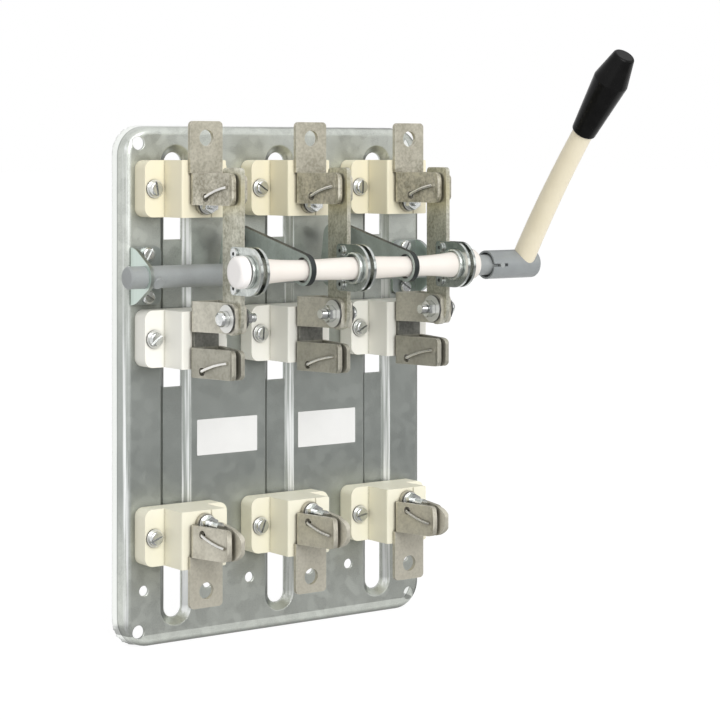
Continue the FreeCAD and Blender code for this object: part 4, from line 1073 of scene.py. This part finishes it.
@dataclass
class Studio:
    """The floor, the white surroundings, the soft lamps, the reflected cards and the camera."""

    floor_z: float = -0.1738
    floor_size: float = 40.0
    floor_tone: float = 0.86
    floor_roughness: float = 0.9
    floor_glow: float = 1.12
    floor_glow_share: float = 0.82
    ambient: float = 0.60
    camera_place: Point = (-0.8517, -1.2692, 0.1536)
    camera_yaw: float = 36.0
    focal_px: float = 2192.1
    picture_px: float = 720.0
    centre_px: tuple[float, float] = (361.19, 157.21)
    sensor: float = 36.0
    clip: Range = (0.05, 200.0)
    lamps: tuple[Lamp, ...] = (
        Lamp("key", (-0.45, -2.5, 1.5), side=1.8, power=50.0),
        Lamp("fill", (2.0, -2.2, 0.7), side=1.4, power=6.0))
    cards: tuple[Card, ...] = (
        Card("card_right", (2.4, -3.2, 0.2), (3.2, 5.0), level=0.42),
        Card("card_floor_near", (0.40, -0.62, -0.166), (1.6, 0.75), level=0.42, flat_turn=-34.0),
        Card("card_floor", (1.45, -2.15, -0.165), (2.6, 2.9), level=0.14, flat_turn=-34.0),
        Card("card_back_right", (3.4, 1.6, 0.2), (4.6, 5.0), level=0.12))

    def camera(self) -> None:
        """Makes the camera at the photograph's angle."""
        data = bpy.data.cameras.new("camera")
        data.sensor_width = self.sensor
        data.lens = self.focal_px * self.sensor / self.picture_px
        half = self.picture_px / 2
        data.shift_x = -(self.centre_px[0] - half) / self.picture_px
        data.shift_y = (self.centre_px[1] - half) / self.picture_px
        data.clip_start, data.clip_end = self.clip
        made = bpy.data.objects.new("camera", data)
        made.location = self.camera_place
        made.rotation_euler = (math.radians(90.0), 0.0, -math.radians(self.camera_yaw))
        bpy.context.scene.collection.objects.link(made)
        bpy.context.scene.camera = made

    def floor(self) -> None:
        """Makes the pale floor, which keeps the object's shadow."""
        mesh = bmesh.new()
        bmesh.ops.create_grid(mesh, x_segments=1, y_segments=1, size=self.floor_size,
                              matrix=Matrix.Translation((0.0, 0.0, self.floor_z)))
        material, graph, matte = new_material("pale_floor")
        matte.inputs["Base Color"].default_value = grey(self.floor_tone)
        matte.inputs["Roughness"].default_value = self.floor_roughness
        matte.inputs["Specular IOR Level"].default_value = 0.0
        glow = graph.node("ShaderNodeEmission", Strength=self.floor_glow)
        blend = graph.node("ShaderNodeMixShader")
        graph.link(graph.math("MULTIPLY", self.seen(graph), self.floor_glow_share), blend.inputs[0])
        graph.link(matte.outputs[0], blend.inputs[1])
        graph.link(glow.outputs[0], blend.inputs[2])
        graph.link(blend.outputs[0], material.node_tree.nodes["Material Output"].inputs[0])
        mesh_object("floor", mesh, material)

    @staticmethod
    def seen(graph: Graph) -> bpy.types.NodeSocket:
        """Finds the rays that look at the surroundings, directly or in a reflection.

        Args:
            graph: the material's or the world's graph.

        Returns:
            A socket that is 1 for camera, glossy and transmission rays.
        """
        path = graph.node("ShaderNodeLightPath")
        first = graph.math("MAXIMUM", path.outputs["Is Camera Ray"], path.outputs["Is Glossy Ray"])
        return graph.math("MAXIMUM", first, path.outputs["Is Transmission Ray"])

    def world(self) -> None:
        """Makes the white surroundings and their plain light."""
        world = bpy.context.scene.world or bpy.data.worlds.new("world")
        bpy.context.scene.world = world
        world.use_nodes = True
        graph = Graph(world.node_tree)
        light = world.node_tree.nodes["Background"]
        light.inputs["Color"].default_value = grey(1.0)
        level = graph.span(self.seen(graph), 0.0, 1.0, self.ambient, 1.0)
        graph.link(level, light.inputs["Strength"])

    def build(self) -> None:
        """Builds the whole studio."""
        self.camera()
        self.floor()
        self.world()
        for fixture in (*self.lamps, *self.cards):
            fixture.build()
        bpy.context.scene.view_settings.view_transform = "Standard"


@dataclass
class Base:
    """The fixed sub-assembly: plate, insulators, contacts, springs, screws and bearings."""

    rows: tuple[str, ...] = ("top", "middle", "bottom")
    contact_rows: tuple[str, ...] = ("top", "hinge", "bottom")
    labels: PaperLabels = field(default_factory=PaperLabels)
    threads: Threads = field(default_factory=Threads)
    crimps: RimCrimps = field(default_factory=RimCrimps)

    def dress(self, nodes: Nodes, stock: Stock) -> None:
        """Dresses the fixed nodes and adds the labels, the threads and the rim's crimps.

        Args:
            nodes: the frame's nodes by name.
            stock: the finishes' materials.
        """
        dress(nodes, ["mounting_plate"], stock[GALVANISED])
        dress(nodes, [f"{row}_insulator_{pole}" for row in self.rows for pole in POLES], stock[CREAM])
        dress(nodes, [f"{row}_spring_{pole}" for row in self.rows for pole in POLES], stock[SPRING])
        dress(nodes, [f"{row}_contact_{pole}" for row in self.contact_rows for pole in POLES],
              stock[COPPER])
        dress(nodes, ["slotted_screws", "plate_nuts", "contact_bolts", "contact_nuts", "hinge_bolts",
                      "hinge_nuts"], stock[BRIGHT_ZINC])
        dress(nodes, ["small_washers", "contact_washers"], stock[WASHER])
        dress(nodes, ["hinge_washers"], stock[HINGE_WASHER])
        dress(nodes, ["bearing_bracket_left", "bearing_bracket_right"], stock[BRACKET_ZINC])
        self.labels.build(stock[PAPER])
        self.threads.build(stock[BRIGHT_ZINC])
        self.crimps.build(stock[GALVANISED])


@dataclass
class Knives:
    """The moving knives, their clamps and the insulating bar."""

    sides: tuple[str, ...] = ("left", "right")

    def dress(self, nodes: Nodes, stock: Stock) -> None:
        """Dresses the knives' nodes.

        Args:
            nodes: the frame's nodes by name.
            stock: the finishes' materials.
        """
        dress(nodes, [f"knife_blade_{pole}" for pole in POLES], stock[KNIFE])
        dress(nodes, [f"clamp_{side}_{pole}" for side in self.sides for pole in POLES], stock[CLAMP_ZINC])
        dress(nodes, ["clamp_rivets"], stock[BRIGHT_ZINC])
        dress(nodes, ["insulating_bar"], stock[BAR])


@dataclass
class Drive:
    """The shaft, its cranks and links, and the handle."""

    arms: tuple[int, ...] = (1, 2)

    def dress(self, nodes: Nodes, stock: Stock) -> None:
        """Dresses the drive's nodes.

        Args:
            nodes: the frame's nodes by name.
            stock: the finishes' materials.
        """
        dress(nodes, ["shaft", "shaft_pins"], stock[SHAFT_PAINT])
        dress(nodes, [f"{kind}_{arm}" for kind in ("crank", "link") for arm in self.arms], stock[LINK_ZINC])
        dress(nodes, ["crank_pins"], stock[LINK_ZINC])
        dress(nodes, ["handle_hub"], stock[HUB_PAINT])
        dress(nodes, ["handle_rod"], stock[ROD_PAINT])
        dress(nodes, ["handle_grip"], stock[BLACK])


def main() -> None:
    """Builds the scene: the frame, the finishes, the studio and the three sub-assemblies."""
    logging.basicConfig(level=logging.INFO, format="%(name)s: %(message)s")
    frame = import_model()
    kit = Kit()
    stock = {finish: finish.material(kit) for finish in FINISHES}
    Studio().build()
    for assembly in (Base(), Knives(), Drive()):
        assembly.dress(frame["nodes"], stock)


if __name__ == "__main__":
    main()
